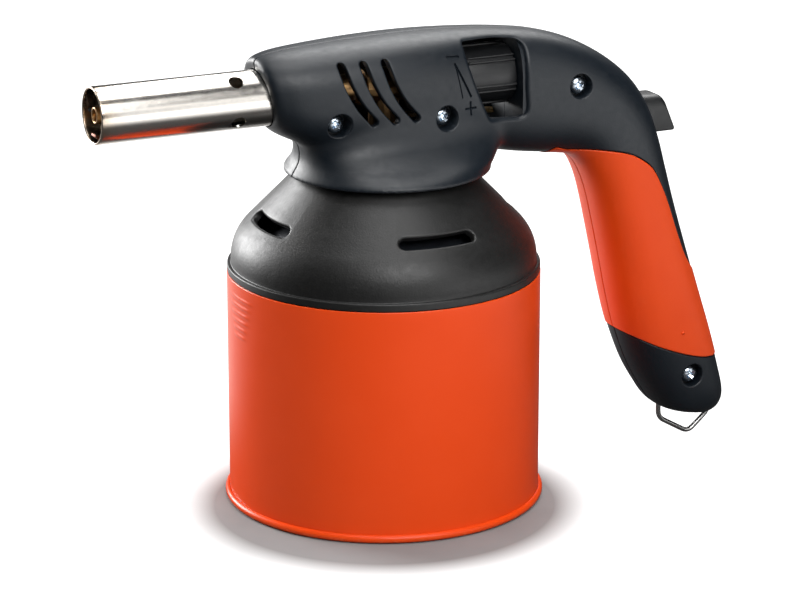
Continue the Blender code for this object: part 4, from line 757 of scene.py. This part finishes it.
def base_bead(grow):
    """The raised ring pressed into the base, as radius and height."""
    slope = [(BEAD_SLOPE * t, BEAD_RISE * (3 * t * t - 2 * t ** 3)) for t in (0, 0.25, 0.5, 0.75, 1)]
    return [*[(BEAD_LOW - grow + r, z) for r, z in slope],
            *[(BEAD_HIGH + grow - r, z) for r, z in slope[::-1]]]


def make_base():
    outer, rim, seam, hem = CUP_RADIUS + 0.0013, 0.0012, 0.0018, 0.0475
    profile = [(0, 0), *base_bead(0), *arc((outer - rim, rim), rim, -90, 88, 14),
               (CUP_RADIUS + 0.00012, 0.0022), (CUP_RADIUS + 0.0002, seam), (hem, seam),
               (hem, CUP_WALL), *[(r, z + CUP_WALL) for r, z in base_bead(0.00003)[::-1]],
               (0, CUP_WALL)]
    return turned("rolled_base", profile, FINE)


def make_cartridge():
    foot, top, side, wall = 0.0017, 0.0913, 0.0446, 0.0006
    boss_radius, boss_height, shoulder, toe = 0.008, 0.001, 0.064, 0.0014
    crown = top - boss_height - shoulder
    dome = [(boss_radius + (side - boss_radius) * cos(a), shoulder + crown * sin(a))
            for a in (pi / 2 * k / 24 for k in range(24))]
    profile = [(0, foot), *arc((side - toe, foot + toe), toe, -90, 0, 6), (side, 0.062), *dome,
               (boss_radius, top - boss_height),
               *arc((boss_radius - 0.0012, top - wall), wall, 0, 90, 4), (0.0016, top),
               (0.0016, top - wall), (boss_radius - 0.0018, top - wall),
               *[(r - wall, z - 0.0007) for r, z in dome[::-1]], (side - wall, foot + 0.002),
               (side - 0.002, foot + wall), (0, foot + wall)]
    return turned("gas_can", profile, FINE // 2)


DOME_SIDE, SHOULDER, SHOULDER_Z = CUP_RADIUS - 0.0012, 0.01507, DOME_FOOT_Z + 0.0036
CONE = radians(45.6)
DOME_WALL, SKIRT_WALL = 0.002, 0.0009
LATCH_INNER, LATCH_HALF = CUP_RADIUS - CUP_WALL - GAP - SKIRT_WALL + 0.0002, 0.006
VENT_RISE, VENT_WIDTH, VENT_ANGLE, VENT_ROLL = 0.0048, 0.0038, radians(36.5), 0.0008


def dome_profile():
    foot, top, plate = DOME_FOOT_Z, DOME_TOP_Z, DOME_TOP_Z - DOME_WALL
    centre = (DOME_SIDE - SHOULDER, SHOULDER_Z)
    last = 90 - degrees(CONE)
    outside = arc(centre, SHOULDER, 0, last, 18)
    inside = arc(centre, SHOULDER - DOME_WALL, 0, last, 10)

    def cone_at(points, z):
        return points[-1][0] - (z - points[-1][1]) / tan(CONE)
    skirt, hem = CUP_RADIUS - CUP_WALL - GAP, foot - 0.004
    flange, ledge, soft, crease = CUP_RADIUS - 0.0001, foot + 0.0021, 0.0004, 0.0003
    spigot, lip, cup, hole = 0.0145, 0.0159, 0.0123, 0.0057
    catch, crest = top + 0.0033, top + 0.005
    return [
        (skirt - SKIRT_WALL, hem), (skirt, hem), (skirt, foot), (flange, foot),
        *arc((flange - soft, ledge - soft), soft, 0, 90, 5),
        *arc((DOME_SIDE + crease, ledge + crease), crease, 270, 180, 4), *outside,
        (cone_at(outside, top), top), (spigot, top), (spigot, catch), (lip, catch), (lip, crest),
        (cup, crest), (cup, top), (hole, top), (hole, plate), (cone_at(inside, plate), plate),
        *inside[::-1], (inside[0][0], ledge), (skirt - SKIRT_WALL, foot + 0.0003),
    ]


def vent_cutter(turn):
    """A long slot round the cone, with round ends and a rolled outer edge."""
    last = pi / 2 - CONE
    corner = Vector((DOME_SIDE - SHOULDER + SHOULDER * cos(last), SHOULDER_Z + SHOULDER * sin(last)))
    slant = Vector((-cos(CONE), sin(CONE)))
    out = Vector((slant.y, -slant.x))
    middle = corner + slant * VENT_RISE
    half, reach, roll = VENT_WIDTH / 2, VENT_ANGLE / 2 * middle.x, VENT_ROLL
    levels = [(-0.004, 0.0), *arc((-roll, roll), roll, -90, 0, 6), (0.004, roll)]
    steps, rings = 32, []
    for step in range(steps + 1):
        lean = -cos(pi * step / steps)
        above, below = [], []
        for depth, grow in levels:
            along_arc = lean * (reach + grow)
            into_end = max(abs(along_arc) - (reach - half), 0)
            height = sqrt(max((half + grow) ** 2 - into_end ** 2, 1e-10))
            angle = turn + along_arc / middle.x
            for side, spots in ((1, above), (-1, below)):
                spot = middle + out * depth + slant * height * side
                spots.append((spot.x * cos(angle), spot.x * sin(angle), spot.y))
        rings.append(above + below[::-1])
    return loft("vent", rings)


def sector(name, outline, side, half_width, steps=8):
    radius = sum(point[0] for point in outline) / len(outline)
    middle = 0 if side > 0 else pi
    rings = []
    for k in range(steps + 1):
        angle = middle + (2 * k / steps - 1) * half_width / radius
        rings.append([(r * cos(angle), r * sin(angle), z) for r, z in outline])
    return loft(name, rings)


def make_dome():
    made = turned("dome_shell", dome_profile(), FINE)
    cut(made, *(vent_cutter(tau * k / 4) for k in range(4)))
    low, high = DOME_FOOT_Z - 0.008, DOME_FOOT_Z + 0.0016
    inner, outer = LATCH_INNER - GAP, CUP_RADIUS - CUP_WALL - GAP / 2
    for side in (-1, 1):
        cut(made, sector("seat", oblong(inner, outer, low, high), side, LATCH_HALF + GAP))
    return made


def make_latch(name, side):
    low, high, bump = DOME_FOOT_Z - 0.0145, DOME_FOOT_Z + 0.0013, DOME_FOOT_Z - 0.01
    outer, swell, soft = LATCH_INNER + 0.0004, 0.0014, 0.0001
    room = CUP_RADIUS - CUP_WALL - GAP - outer
    crest = [(outer + room * cos(a) ** 2, bump + swell * a / (pi / 2))
             for a in (pi / 2 * (k / 6 - 1) for k in range(1, 12))]
    outline = [(LATCH_INNER, low + soft), (outer - soft, low), (outer, low + soft),
               (outer, bump - swell), *crest, (outer, bump + swell), (outer, high),
               (LATCH_INNER, high)]
    return sector(name, outline, side, LATCH_HALF)


# Screws and moving parts

# One arm of the cross: half length, half width and height over the head, from the bottom up
CROSS_ARM = ((0.0005, 0.00034, -0.0013), (0.0016, 0.00052, -0.0002), (0.0016, 0.00052, 0.002))
WHEEL_CORNER, WHEEL_FADE, WHEEL_BORE = 0.0004, 0.0002, 0.0023
WHEEL_RIBS, FIRST_RIB_TURN = 6, 49
WHEEL_RIB_RISE, WHEEL_RIB_OFFSET, WHEEL_RIB_HALF = 0.0006, 0.00085, 0.00035


def make_screw(number, place):
    x, z, seat = place
    crown = [(SCREW_HEAD * r, SCREW_TOP * (0.42 + 0.58 * h)) for r, h in arc((0, 0), 1, 0, 84, 9)]
    length = seat + SCREW_REACH
    made = turned(f"pan_screw_{number}", (
        (0, -length), (SHANK / 2, -length), (SHANK, -length + SHANK), (SHANK, 0),
        (SCREW_HEAD * 0.94, 0), (SCREW_HEAD, SCREW_TOP * 0.06), *crown, (0, SCREW_TOP)), 48)
    for turn in (0, pi / 2):
        rings = [[(sx * a, sy * b, SCREW_TOP + h) for sx, sy in ((-1, -1), (1, -1), (1, 1), (-1, 1))]
                 for a, b, h in CROSS_ARM]
        cut(made, placed(loft("arm", rings), Matrix.Rotation(turn + pi / 5, 4, "Z")))
    return on_side(made, x, -seat, z)


def make_wheel():
    low, high, corner, fade = WHEEL_X, WHEEL_X + WHEEL_LENGTH, WHEEL_CORNER, WHEEL_FADE
    made = turned("thumb_wheel", (
        (WHEEL_BORE, low), *arc((WHEEL_RADIUS - corner, low + corner), corner, 270, 360, 5),
        *arc((WHEEL_RADIUS - corner, high - corner), corner, 0, 90, 5), (WHEEL_BORE, high)), 96)
    root, half = WHEEL_RADIUS * 0.9, WHEEL_RIB_HALF
    section = [(root, -half), *arc((WHEEL_RADIUS + WHEEL_RIB_RISE - half, 0), half, -90, 90, 6),
               (root, half)]
    for k in range(WHEEL_RIBS):
        for side in (-WHEEL_RIB_OFFSET, WHEEL_RIB_OFFSET):
            rings = [[(r - fall, side + y, z) for r, y in section]
                     for z, fall in ((low + fade / 4, fade), (low + fade, 0.0),
                                     (high - fade, 0.0), (high - fade / 4, fade))]
            turn = radians(FIRST_RIB_TURN + 360 // WHEEL_RIBS * k)
            join(made, placed(loft("rib", rings), Matrix.Rotation(turn, 4, "Z")))
    return to_burner(made)


def inset_corners(corners, distances):
    """A polygon's corners after each of its edges has moved inwards."""
    shape = np.array(corners)
    edge = np.roll(shape, -1, axis=0) - shape
    edge /= np.linalg.norm(edge, axis=1)[:, None]
    inward = np.stack([-edge[:, 1], edge[:, 0]], axis=1)
    reach = (shape * inward).sum(axis=1) + distances
    return [tuple(np.linalg.solve(inward[[k - 1, k]], reach[[k - 1, k]])) for k in range(len(shape))]


def make_button():
    low, high = BUTTON_Z - BUTTON_HEIGHT / 2, BUTTON_Z + BUTTON_HEIGHT / 2
    corners = [(BUTTON_X, low), (back_x(low) + BUTTON_PROUD, low),
               (back_x(high) + BUTTON_PROUD, high), (BUTTON_X, high)]
    quarter = [pi / 2 * (1 - k / 8) for k in range(9)]
    sides = [(-BUTTON_HALF + BUTTON_ROUND * (1 - sin(a)), 1 - cos(a)) for a in quarter]
    rings = []
    for y, share in [*sides, *[(-y, share) for y, share in sides[::-1]]]:
        outline = inset_corners(corners, np.array(BUTTON_INSETS) * share)
        ring = fillet(outline, [radius * (1 - 0.6 * share) for radius in BUTTON_RADII], 10)
        rings.append([(x, y, z) for x, z in ring])
    made = loft("press_button", rings[::-1])
    reach = BUTTON_TRAVEL + GAP + 0.0065
    return join(made, rod_x("plunger", BUTTON_X - reach, BUTTON_X + 0.004, PLUNGER_RADIUS, z=BUTTON_Z,
                            segments=32))


def make_loop():
    axis, down = Vector((1, 0, 0)), Vector((0, 0, -1))
    back = LOOP_FRONT + axis * LOOP_SPAN
    knee = LOOP_DROP * 0.6
    vertex = LOOP_FRONT + axis * LOOP_SPAN * 0.6 + down * LOOP_DROP
    corners = [LOOP_FRONT + axis * LOOP_PIN, LOOP_FRONT, LOOP_FRONT + down * knee, vertex,
               back + down * knee, back, back - axis * LOOP_PIN]
    path = [corners[0]]
    for before, corner, after in zip(corners, corners[1:], corners[2:]):
        reach = min(LOOP_BEND, (corner - before).length / 2.2, (after - corner).length / 2.2)
        path += bend(before, corner, after, reach, 10)
    path.append(corners[-1])
    return wire("wire_loop", path, LOOP_WIRE, 24)


# Burner

def make_tube():
    mouth, tail, lip = -BURNER_MOUTH, -BURNER_TAIL - GAP, 0.00033
    edge = arc(((BURNER_RADIUS + BURNER_INNER) / 2, mouth + lip), lip, 0, -180, 8)
    heights = np.linspace(mouth + 0.001, tail, 12)
    made = to_burner(turned("burner_barrel", (
        *edge[::-1], *[(BURNER_RADIUS, h) for h in heights],
        *[(BURNER_INNER, h) for h in heights[::-1]]), 128))
    middle = Vector((-NOSE_REACH - AIR_HOLE_STEP, 0, BURNER_Z))
    for turn in (AIR_HOLE_TURN, AIR_HOLE_TURN + 90):
        arm = Vector((0, cos(radians(turn)), sin(radians(turn)))) * BURNER_RADIUS * 2
        cut(made, rod("air", middle - arm, middle + arm, AIR_HOLE))
    return made


def ring_disc(name, low, high):
    """A disc between the mixer and the barrel, with the insulator's hole."""
    made = turned(name, oblong(MIXER_RADIUS + GAP, BURNER_INNER - GAP, low, high), 96)
    return cut(to_burner(made), rod_x("hole", low - 0.004, high + 0.004, INSULATOR_RADIUS + GAP,
                                      INSULATOR_OFFSET, segments=32))


def make_mixer():
    end, open_end, wall, lip = -BURNER_MOUTH + 0.0007, -0.0112333, 0.0008, 0.00032
    bell, cone, inside = open_end - 0.008, open_end - 0.0115, BELL_RADIUS - wall
    return to_burner(turned("mixing_tube", (
        *arc(((MIXER_BORE + MIXER_RADIUS) / 2, end + lip), lip, 180, 360, 8), (MIXER_RADIUS, cone),
        (BELL_RADIUS, bell), (BELL_RADIUS, open_end), (inside, open_end), (inside, bell),
        (MIXER_BORE, cone)), 64))


def make_stabiliser():
    low, high = -BURNER_MOUTH + 0.012, -BURNER_MOUTH + 0.0135
    made = ring_disc("flame_disc", low, high)
    for k in range(5):
        angle = tau * (k + 1) / 6
        cut(made, rod_x("port", low - 0.004, high + 0.004, 0.0011, cos(angle) * INSULATOR_OFFSET,
                        BURNER_Z + sin(angle) * INSULATOR_OFFSET, 24))
    return made


def make_bush():
    high = -BURNER_TAIL - GAP - 0.001
    return ring_disc("tail_bush", high - 0.007, high)


def make_insulator():
    low, high, bore, soft = INSULATOR_LOW, INSULATOR_HIGH, 0.0008, 0.0003
    made = to_burner(turned("ceramic_sleeve", (
        (bore, low), *arc((INSULATOR_RADIUS - soft, low + soft), soft, 270, 360, 4),
        (INSULATOR_RADIUS, high), (bore, high)), 32))
    return placed(made, Matrix.Translation((0, INSULATOR_OFFSET, 0)))


def make_electrode():
    tip, side, hook = -BURNER_MOUTH + 0.0007, INSULATOR_OFFSET, 0.0013
    rough = [(INSULATOR_HIGH + GAP, side, BURNER_Z), (INSULATOR_LOW, side, BURNER_Z),
             (INSULATOR_LOW - hook, side, BURNER_Z),
             (tip + hook, side - hook * 0.4, BURNER_Z + hook * 0.4),
             (tip, side - hook, BURNER_Z + hook * 0.7)]
    return wire("spark_wire", curve_through(rough, 8), 0.0005, 16)


def make_tab():
    width, wall, rise = 0.0042, 0.0006, 0.0018
    low = BURNER_Z - sqrt((BURNER_INNER - GAP) ** 2 - (width / 2) ** 2)
    start = -BURNER_MOUTH + GAP
    under = curve_through([(start, low + rise - wall), (start + rise * 0.55, low + 0.0003),
                           (start + rise * 1.2, low), (start + 0.005, low)], 6)
    over = [(x + wall * 0.35, z + wall) for x, z in under]
    outline = [*under, *over[::-1]]
    return loft("curved_tab", [
        [(x + ease * wall * (x < start + rise), y * width / 2, z) for x, z in outline]
        for y, ease in ((-1, 0.7), (-0.9, 0.25), (-0.75, 0), (0.75, 0), (0.9, 0.25), (1, 0.7))])


# Finishes

def node(tree, kind, inputs=(), **settings):
    made = tree.nodes.new("ShaderNode" + kind)
    for name, value in settings.items():
        setattr(made, name, value)
    for name, value in dict(inputs).items():
        if isinstance(value, bpy.types.NodeSocket):
            tree.links.new(value, made.inputs[name])
        else:
            made.inputs[name].default_value = value
    return made


def noise(tree, place, scale, detail=3, roughness=0.5, distortion=0.0):
    return node(tree, "TexNoise", {"Vector": place, "Scale": scale, "Detail": detail,
                                   "Roughness": roughness, "Distortion": distortion}).outputs[0]


def ranged(tree, value, start=0.3, end=0.7, low=0, high=1):
    return node(tree, "MapRange", {"Value": value, "From Min": start, "From Max": end,
                                   "To Min": low, "To Max": high}).outputs[0]


def mixed(tree, share, first, second):
    first, second = (value if isinstance(value, bpy.types.NodeSocket) else (*value, 1)
                     for value in (first, second))
    return node(tree, "Mix", {0: share, 6: first, 7: second}, data_type="RGBA").outputs[2]


def maths(tree, operation, first, second):
    return node(tree, "Math", {0: first, 1: second}, operation=operation).outputs[0]


def times(tree, first, second):
    return maths(tree, "MULTIPLY", first, second)


FINISHES = {}


def blank_finish(name):
    made = bpy.data.materials.new(name)
    made.use_nodes = True
    return made, made.node_tree, made.node_tree.nodes["Principled BSDF"]


def finish(name, colour, tint, roughness, swing, metallic=0.0, patch=90, grain=2600,
           depth=6e-6, detail=2, stretch=(1, 1, 1), sockets=(), speck=None, wear=None):
    """A finish with drifting colour, uneven gloss, a moulded or drawn grain, and wear."""
    made, tree, shader = blank_finish(name)
    place = node(tree, "TexCoord").outputs["Object"]
    stretched = node(tree, "Mapping", {"Vector": place, "Scale": stretch}).outputs[0]
    drift = noise(tree, place, patch, 4, 0.55)
    base = mixed(tree, ranged(tree, drift), colour, tint)
    gloss_noise = noise(tree, stretched, patch * 6, 4, 0.6)
    gloss = ranged(tree, gloss_noise, low=roughness - swing, high=roughness + swing)
    if speck:
        speck_colour, speck_scale, amount = speck
        dots = ranged(tree, noise(tree, place, speck_scale, 1, 0.4), 0.7, 0.76)
        base = mixed(tree, times(tree, dots, amount), base, speck_colour)
    if wear:
        base, gloss = wear(tree, place, base, gloss)
    tree.links.new(base, shader.inputs["Base Color"])
    tree.links.new(gloss, shader.inputs["Roughness"])
    bumps = node(tree, "Bump", {"Strength": 1.0, "Distance": depth,
                                "Height": noise(tree, stretched, grain, detail, 0.5)})
    soft = node(tree, "Bump", {"Strength": 1.0, "Distance": depth * 2.5, "Height": drift,
                               "Normal": bumps.outputs[0]})
    tree.links.new(soft.outputs[0], shader.inputs["Normal"])
    shader.inputs["Metallic"].default_value = metallic
    for socket, value in dict(sockets).items():
        shader.inputs[socket].default_value = value
    FINISHES[name] = made


def height_band(tree, place, start, end):
    """0 below one height and 1 above another."""
    z = node(tree, "SeparateXYZ", {"Vector": place}).outputs[2]
    return ranged(tree, z, start, end)


def cup_wear(tree, place, base, gloss):
    """Rubbed paint at the cup's top edge and on the rolled foot."""
    top = height_band(tree, place, CUP_HEIGHT - 0.0006, CUP_HEIGHT)
    foot = maths(tree, "SUBTRACT", 1.0, height_band(tree, place, 0.0006, 0.0016))
    rub = ranged(tree, noise(tree, place, 700, 5, 0.65), 0.48, 0.7)
    share = times(tree, maths(tree, "MAXIMUM", top, foot), rub)
    base = mixed(tree, times(tree, share, 0.4), base, (0.86, 0.22, 0.09))
    return base, maths(tree, "ADD", gloss, times(tree, share, 0.15))


def mouth_heat(tree, place, base, gloss):
    """Straw and brown heat tint at the burner's mouth, and a mottled plating."""
    x = node(tree, "SeparateXYZ", {"Vector": place}).outputs[0]
    wander = times(tree, ranged(tree, noise(tree, place, 260, 3, 0.6), low=-1), 0.0016)
    moved = maths(tree, "ADD", x, wander)
    straw = ranged(tree, moved, -0.09, -0.0835, 1, 0)
    brown = ranged(tree, moved, -0.091, -0.0885, 1, 0)
    base = mixed(tree, times(tree, straw, 0.45), base, (0.62, 0.45, 0.26))
    base = mixed(tree, times(tree, brown, 0.35), base, (0.3, 0.19, 0.13))
    mottle = ranged(tree, noise(tree, place, 1500, 5, 0.7), 0.4, 0.64)
    base = mixed(tree, times(tree, mottle, 0.22), base, (0.5, 0.47, 0.43))
    return base, maths(tree, "ADD", gloss, times(tree, mottle, 0.05))


def scuffed(colour, amount):
    """Small pale rubs in a plastic."""
    def wear(tree, place, base, gloss):
        rub = ranged(tree, noise(tree, place, 420, 6, 0.72, 0.4), 0.6, 0.74)
        share = times(tree, rub, amount)
        base = mixed(tree, share, base, colour)
        return base, maths(tree, "ADD", gloss, times(tree, share, 0.3))

    return wear


finish("orange_paint", (0.87, 0.072, 0.008), (0.85, 0.067, 0.006), 0.32, 0.02, patch=60,
       grain=1100, wear=cup_wear, sockets={"Specular IOR Level": 0.25})
# The can is given a near-black colour, a painted shade that keeps the inside of the vents dark where it
# is seen through them
finish("cartridge_steel", (0.03, 0.034, 0.042), (0.024, 0.027, 0.034), 0.38, 0.05, metallic=0.5,
       grain=1500, wear=scuffed((0.16, 0.17, 0.18), 0.3))
finish("black_housing", (0.0036, 0.0072, 0.012), (0.0031, 0.0062, 0.0103), 0.46, 0.05, depth=22e-6,
       wear=scuffed((0.018, 0.021, 0.025), 0.2))
finish("black_dome", (0.0085, 0.0085, 0.0082), (0.007, 0.007, 0.0069), 0.46, 0.05, grain=1700,
       depth=45e-6, detail=3, wear=scuffed((0.035, 0.035, 0.034), 0.25))
finish("orange_grip", (0.8, 0.068, 0.004), (0.775, 0.062, 0.003), 0.44, 0.04, patch=70, grain=1900,
       depth=12e-6, wear=scuffed((0.82, 0.13, 0.03), 0.25), sockets={"Specular IOR Level": 0.35})
finish("zinc", (0.66, 0.74, 0.82), (0.56, 0.62, 0.7), 0.22, 0.07, metallic=1, patch=120, depth=3e-6)
finish("spring_steel", (0.62, 0.6, 0.58), (0.52, 0.5, 0.48), 0.28, 0.07, metallic=1, patch=300,
       grain=1800, stretch=(0.3, 0.3, 2.5))
finish("burner_steel", (0.8, 0.765, 0.715), (0.74, 0.7, 0.65), 0.17, 0.02, metallic=1, patch=120,
       grain=1500, depth=2.2e-6, detail=3, stretch=(0.6, 1.4, 1.4), wear=mouth_heat)
finish("brass", (0.45, 0.27, 0.12), (0.36, 0.21, 0.09), 0.34, 0.06, metallic=1, patch=110,
       grain=1800, stretch=(3, 0.6, 0.6))
finish("tinted_steel", (0.2, 0.065, 0.035), (0.13, 0.05, 0.03), 0.5, 0.06, metallic=1, patch=260,
       grain=1500)
finish("dark_steel", (0.22, 0.2, 0.16), (0.13, 0.11, 0.08), 0.42, 0.08, metallic=1, patch=260,
       grain=1500, depth=12e-6)
finish("ceramic", (0.84, 0.83, 0.79), (0.76, 0.74, 0.69), 0.42, 0.05, patch=300, grain=3000,
       depth=8e-6, speck=((0.45, 0.41, 0.35), 1800, 0.5))
finish("black_rubber", (0.012, 0.012, 0.012), (0.017, 0.017, 0.016), 0.62, 0.06, grain=1800,
       depth=18e-6)
finish("black_part", (0.008, 0.0086, 0.0096), (0.0062, 0.0066, 0.0074), 0.42, 0.05, depth=12e-6,
       wear=scuffed((0.04, 0.04, 0.043), 0.2))
finish("amber_sleeve", (0.2, 0.135, 0.055), (0.13, 0.085, 0.035), 0.28, 0.06, patch=300, grain=2400,
       sockets={"Coat Weight": 0.4, "Coat Roughness": 0.15})
finish("loop_steel", (0.74, 0.74, 0.73), (0.62, 0.61, 0.6), 0.2, 0.06, metallic=1, patch=400,
       grain=2200)


def dress(made, slot, *replaced, body="head", look=None):
    """Smooths a piece, gives it its finish and hands it to its body."""
    made.data.shade_smooth()
    made.data.set_sharp_from_angle(angle=SHARP_ANGLE)
    made.data.materials.clear()
    made.data.materials.append(FINISHES[look or slot])
    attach(made, body)
    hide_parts(*replaced)


LEFT, RIGHT, COVERS, PLACES = make_housing()
dress(LEFT, "black_housing", "shell_left")
dress(RIGHT, "black_housing", "shell_right")
dress(COVERS[0], "orange_grip", "grip_cover_left")
dress(COVERS[1], "orange_grip", "grip_cover_right")
dress(make_dome(), "black_dome", "dome_cover")
dress(make_cup(), "orange_paint", "cartridge_cup", body="cup")
dress(make_base(), "orange_paint", "cup_base", body="cup")
dress(make_cartridge(), "cartridge_steel", "gas_cartridge", body="cartridge")
dress(make_latch("catch_front", -1), "spring_steel", "latch_spring_front")
dress(make_latch("catch_rear", 1), "spring_steel", "latch_spring_rear")
for number, spot in enumerate(PLACES, 1):
    dress(make_screw(number, spot), "zinc", f"case_screw_{number}")
dress(make_tube(), "burner_steel", "burner_tube")
dress(make_bush(), "brass", "burner_bush")
dress(make_mixer(), "brass", "mixer_tube")
dress(make_stabiliser(), "dark_steel", "flame_stabiliser")
dress(make_insulator(), "ceramic", "electrode_insulator")
dress(make_electrode(), "spring_steel", "spark_electrode")
dress(make_tab(), "burner_steel", "earth_tab", look="tinted_steel")
dress(make_wheel(), "black_part", "valve_wheel", body="wheel")
dress(make_button(), "black_part", "igniter_button", body="button")
dress(make_loop(), "loop_steel", "hanging_loop", body="loop")

# Inner pieces that keep their solids take a finish of their own
KEPT = {
    "gas_jet": "brass", "valve_body": "brass", "inlet_nut": "brass", "valve_spindle": "spring_steel",
    "piercing_needle": "spring_steel", "cartridge_seal": "black_rubber",
    "spark_lead": "amber_sleeve", "piezo_unit": "black_part",
}
for name, slot in KEPT.items():
    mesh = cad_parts[name].data
    mesh.materials.clear()
    mesh.materials.append(FINISHES[slot])

# Floor, lights and camera

# The painted shadow on the floor: the centre of its disc, and the radii where it fades out into the
# white glow
SHADOW_CENTRE, SHADOW_NEAR, SHADOW_FAR = (-0.005, -0.011, 0), 0.051, 0.064
# Painted reflections: sectors of the floor that glow only for reflections: azimuth, brightness and where
# they begin
SWEEP = ((90, 1.0, 0.06), (-62, 2.0, 0.16))
MIDDLE = (0.01, 0, 0.07)


def floor_finish():
    """A floor that glows white for the camera away from the object, with a disc of painted shadow near
    it laid over the cast shadow; reflections see the floor darker, a painted shade, and glowing sectors,
    painted reflections.
    """
    made, tree, shader = blank_finish("floor")
    shader.inputs["Roughness"].default_value = 0.7
    shader.inputs["Specular IOR Level"].default_value = 0.0
    place = node(tree, "TexCoord").outputs["Object"]
    path = node(tree, "LightPath").outputs
    tone = ranged(tree, noise(tree, place, 40), low=0.27, high=0.3)
    # Reflections see the floor at a fifth of its tone, a painted shade in the undersides that mirror it
    tone = times(tree, tone, ranged(tree, path["Is Glossy Ray"], 0, 1, 1, 0.2))
    colour = node(tree, "CombineColor", {"Red": tone, "Green": tone, "Blue": tone}).outputs[0]
    tree.links.new(colour, shader.inputs["Base Color"])
    far = node(tree, "VectorMath", {0: place}, operation="LENGTH").outputs[1]
    shifted = node(tree, "VectorMath", {0: place, 1: SHADOW_CENTRE}, operation="DISTANCE").outputs[1]
    # The glow is left out in a disc round SHADOW_CENTRE, which paints a soft shadow on the floor for the
    # camera
    glow_outside_painted_shadow = ranged(tree, shifted, SHADOW_NEAR, SHADOW_FAR)
    heading = node(tree, "VectorMath", {0: place}, operation="NORMALIZE").outputs[0]
    # Painted reflections: glowing sectors of the floor that only glossy rays see
    painted_reflection_glow = 0
    for azimuth, brightness, near in SWEEP:
        toward = (cos(radians(azimuth)), sin(radians(azimuth)), 0)
        facing = node(tree, "VectorMath", {0: heading, 1: toward}, operation="DOT_PRODUCT")
        lit = times(tree, ranged(tree, facing.outputs[1], 0.5, 0.95, high=brightness),
                    ranged(tree, far, near, near * 2.2))
        painted_reflection_glow = maths(tree, "ADD", lit, painted_reflection_glow)
    seen = maths(tree, "ADD", times(tree, path["Is Camera Ray"], glow_outside_painted_shadow),
                 times(tree, path["Is Glossy Ray"], painted_reflection_glow))
    shader.inputs["Emission Color"].default_value = (1, 1, 1, 1)
    tree.links.new(seen, shader.inputs["Emission Strength"])
    return made


def softbox(name, place, power, size=0.6):
    """A square lamp aimed at the middle of the object."""
    lamp = bpy.data.lights.new(name, "AREA")
    lamp.shape = "RECTANGLE"
    lamp.size, lamp.size_y = size, size
    lamp.energy = power
    made = link(name, lamp)
    made.location = place
    made.rotation_euler = (Vector(MIDDLE) - Vector(place)).to_track_quat("-Z", "Y").to_euler()


FLOOR = link("floor", bpy.data.meshes.new("floor"))
FLOOR.data.from_pydata([(-3, -3, -0.0002), (3, -3, -0.0002), (3, 3, -0.0002), (-3, 3, -0.0002)], [],
                       [(0, 1, 2, 3)])
FLOOR.data.materials.append(floor_finish())

WORLD = bpy.data.worlds.new("studio")
bpy.context.scene.world = WORLD
WORLD.use_nodes = True
SKY = WORLD.node_tree
RAYS = node(SKY, "LightPath")
SKY.nodes["Background"].inputs["Color"].default_value = (1, 1, 1, 1)
SKY.links.new(maths(SKY, "ADD", 0.02, times(SKY, RAYS.outputs["Is Camera Ray"], 0.98)),
              SKY.nodes["Background"].inputs["Strength"])

softbox("key", (-0.07, -0.79, 0.69), 7.6)
softbox("front", (-0.24, -0.52, 0.89), 1)
softbox("low_right", (0.5, -0.86, 0.21), 1.4)
softbox("left_back", (-0.45, 0.85, 0.31), 15, 0.5)
softbox("behind", (0.42, 0.54, 0.8), 7)
softbox("overhead", (0.03, 0, 1.07), 6)

CAMERA = bpy.data.cameras.new("camera")
CAMERA.sensor_width, CAMERA.lens = 36.0, 151.63
VIEW = link("camera", CAMERA)
VIEW.location = (-0.4076, -0.8742, 0.3557)
TURN, PITCH = radians(25) + 0.005, 0.2978
AIM = Vector((sin(TURN) * cos(PITCH), cos(TURN) * cos(PITCH), -sin(PITCH)))
VIEW.rotation_euler = AIM.to_track_quat("-Z", "Y").to_euler()
bpy.context.scene.camera = VIEW
bpy.context.scene.view_settings.view_transform = "Standard"
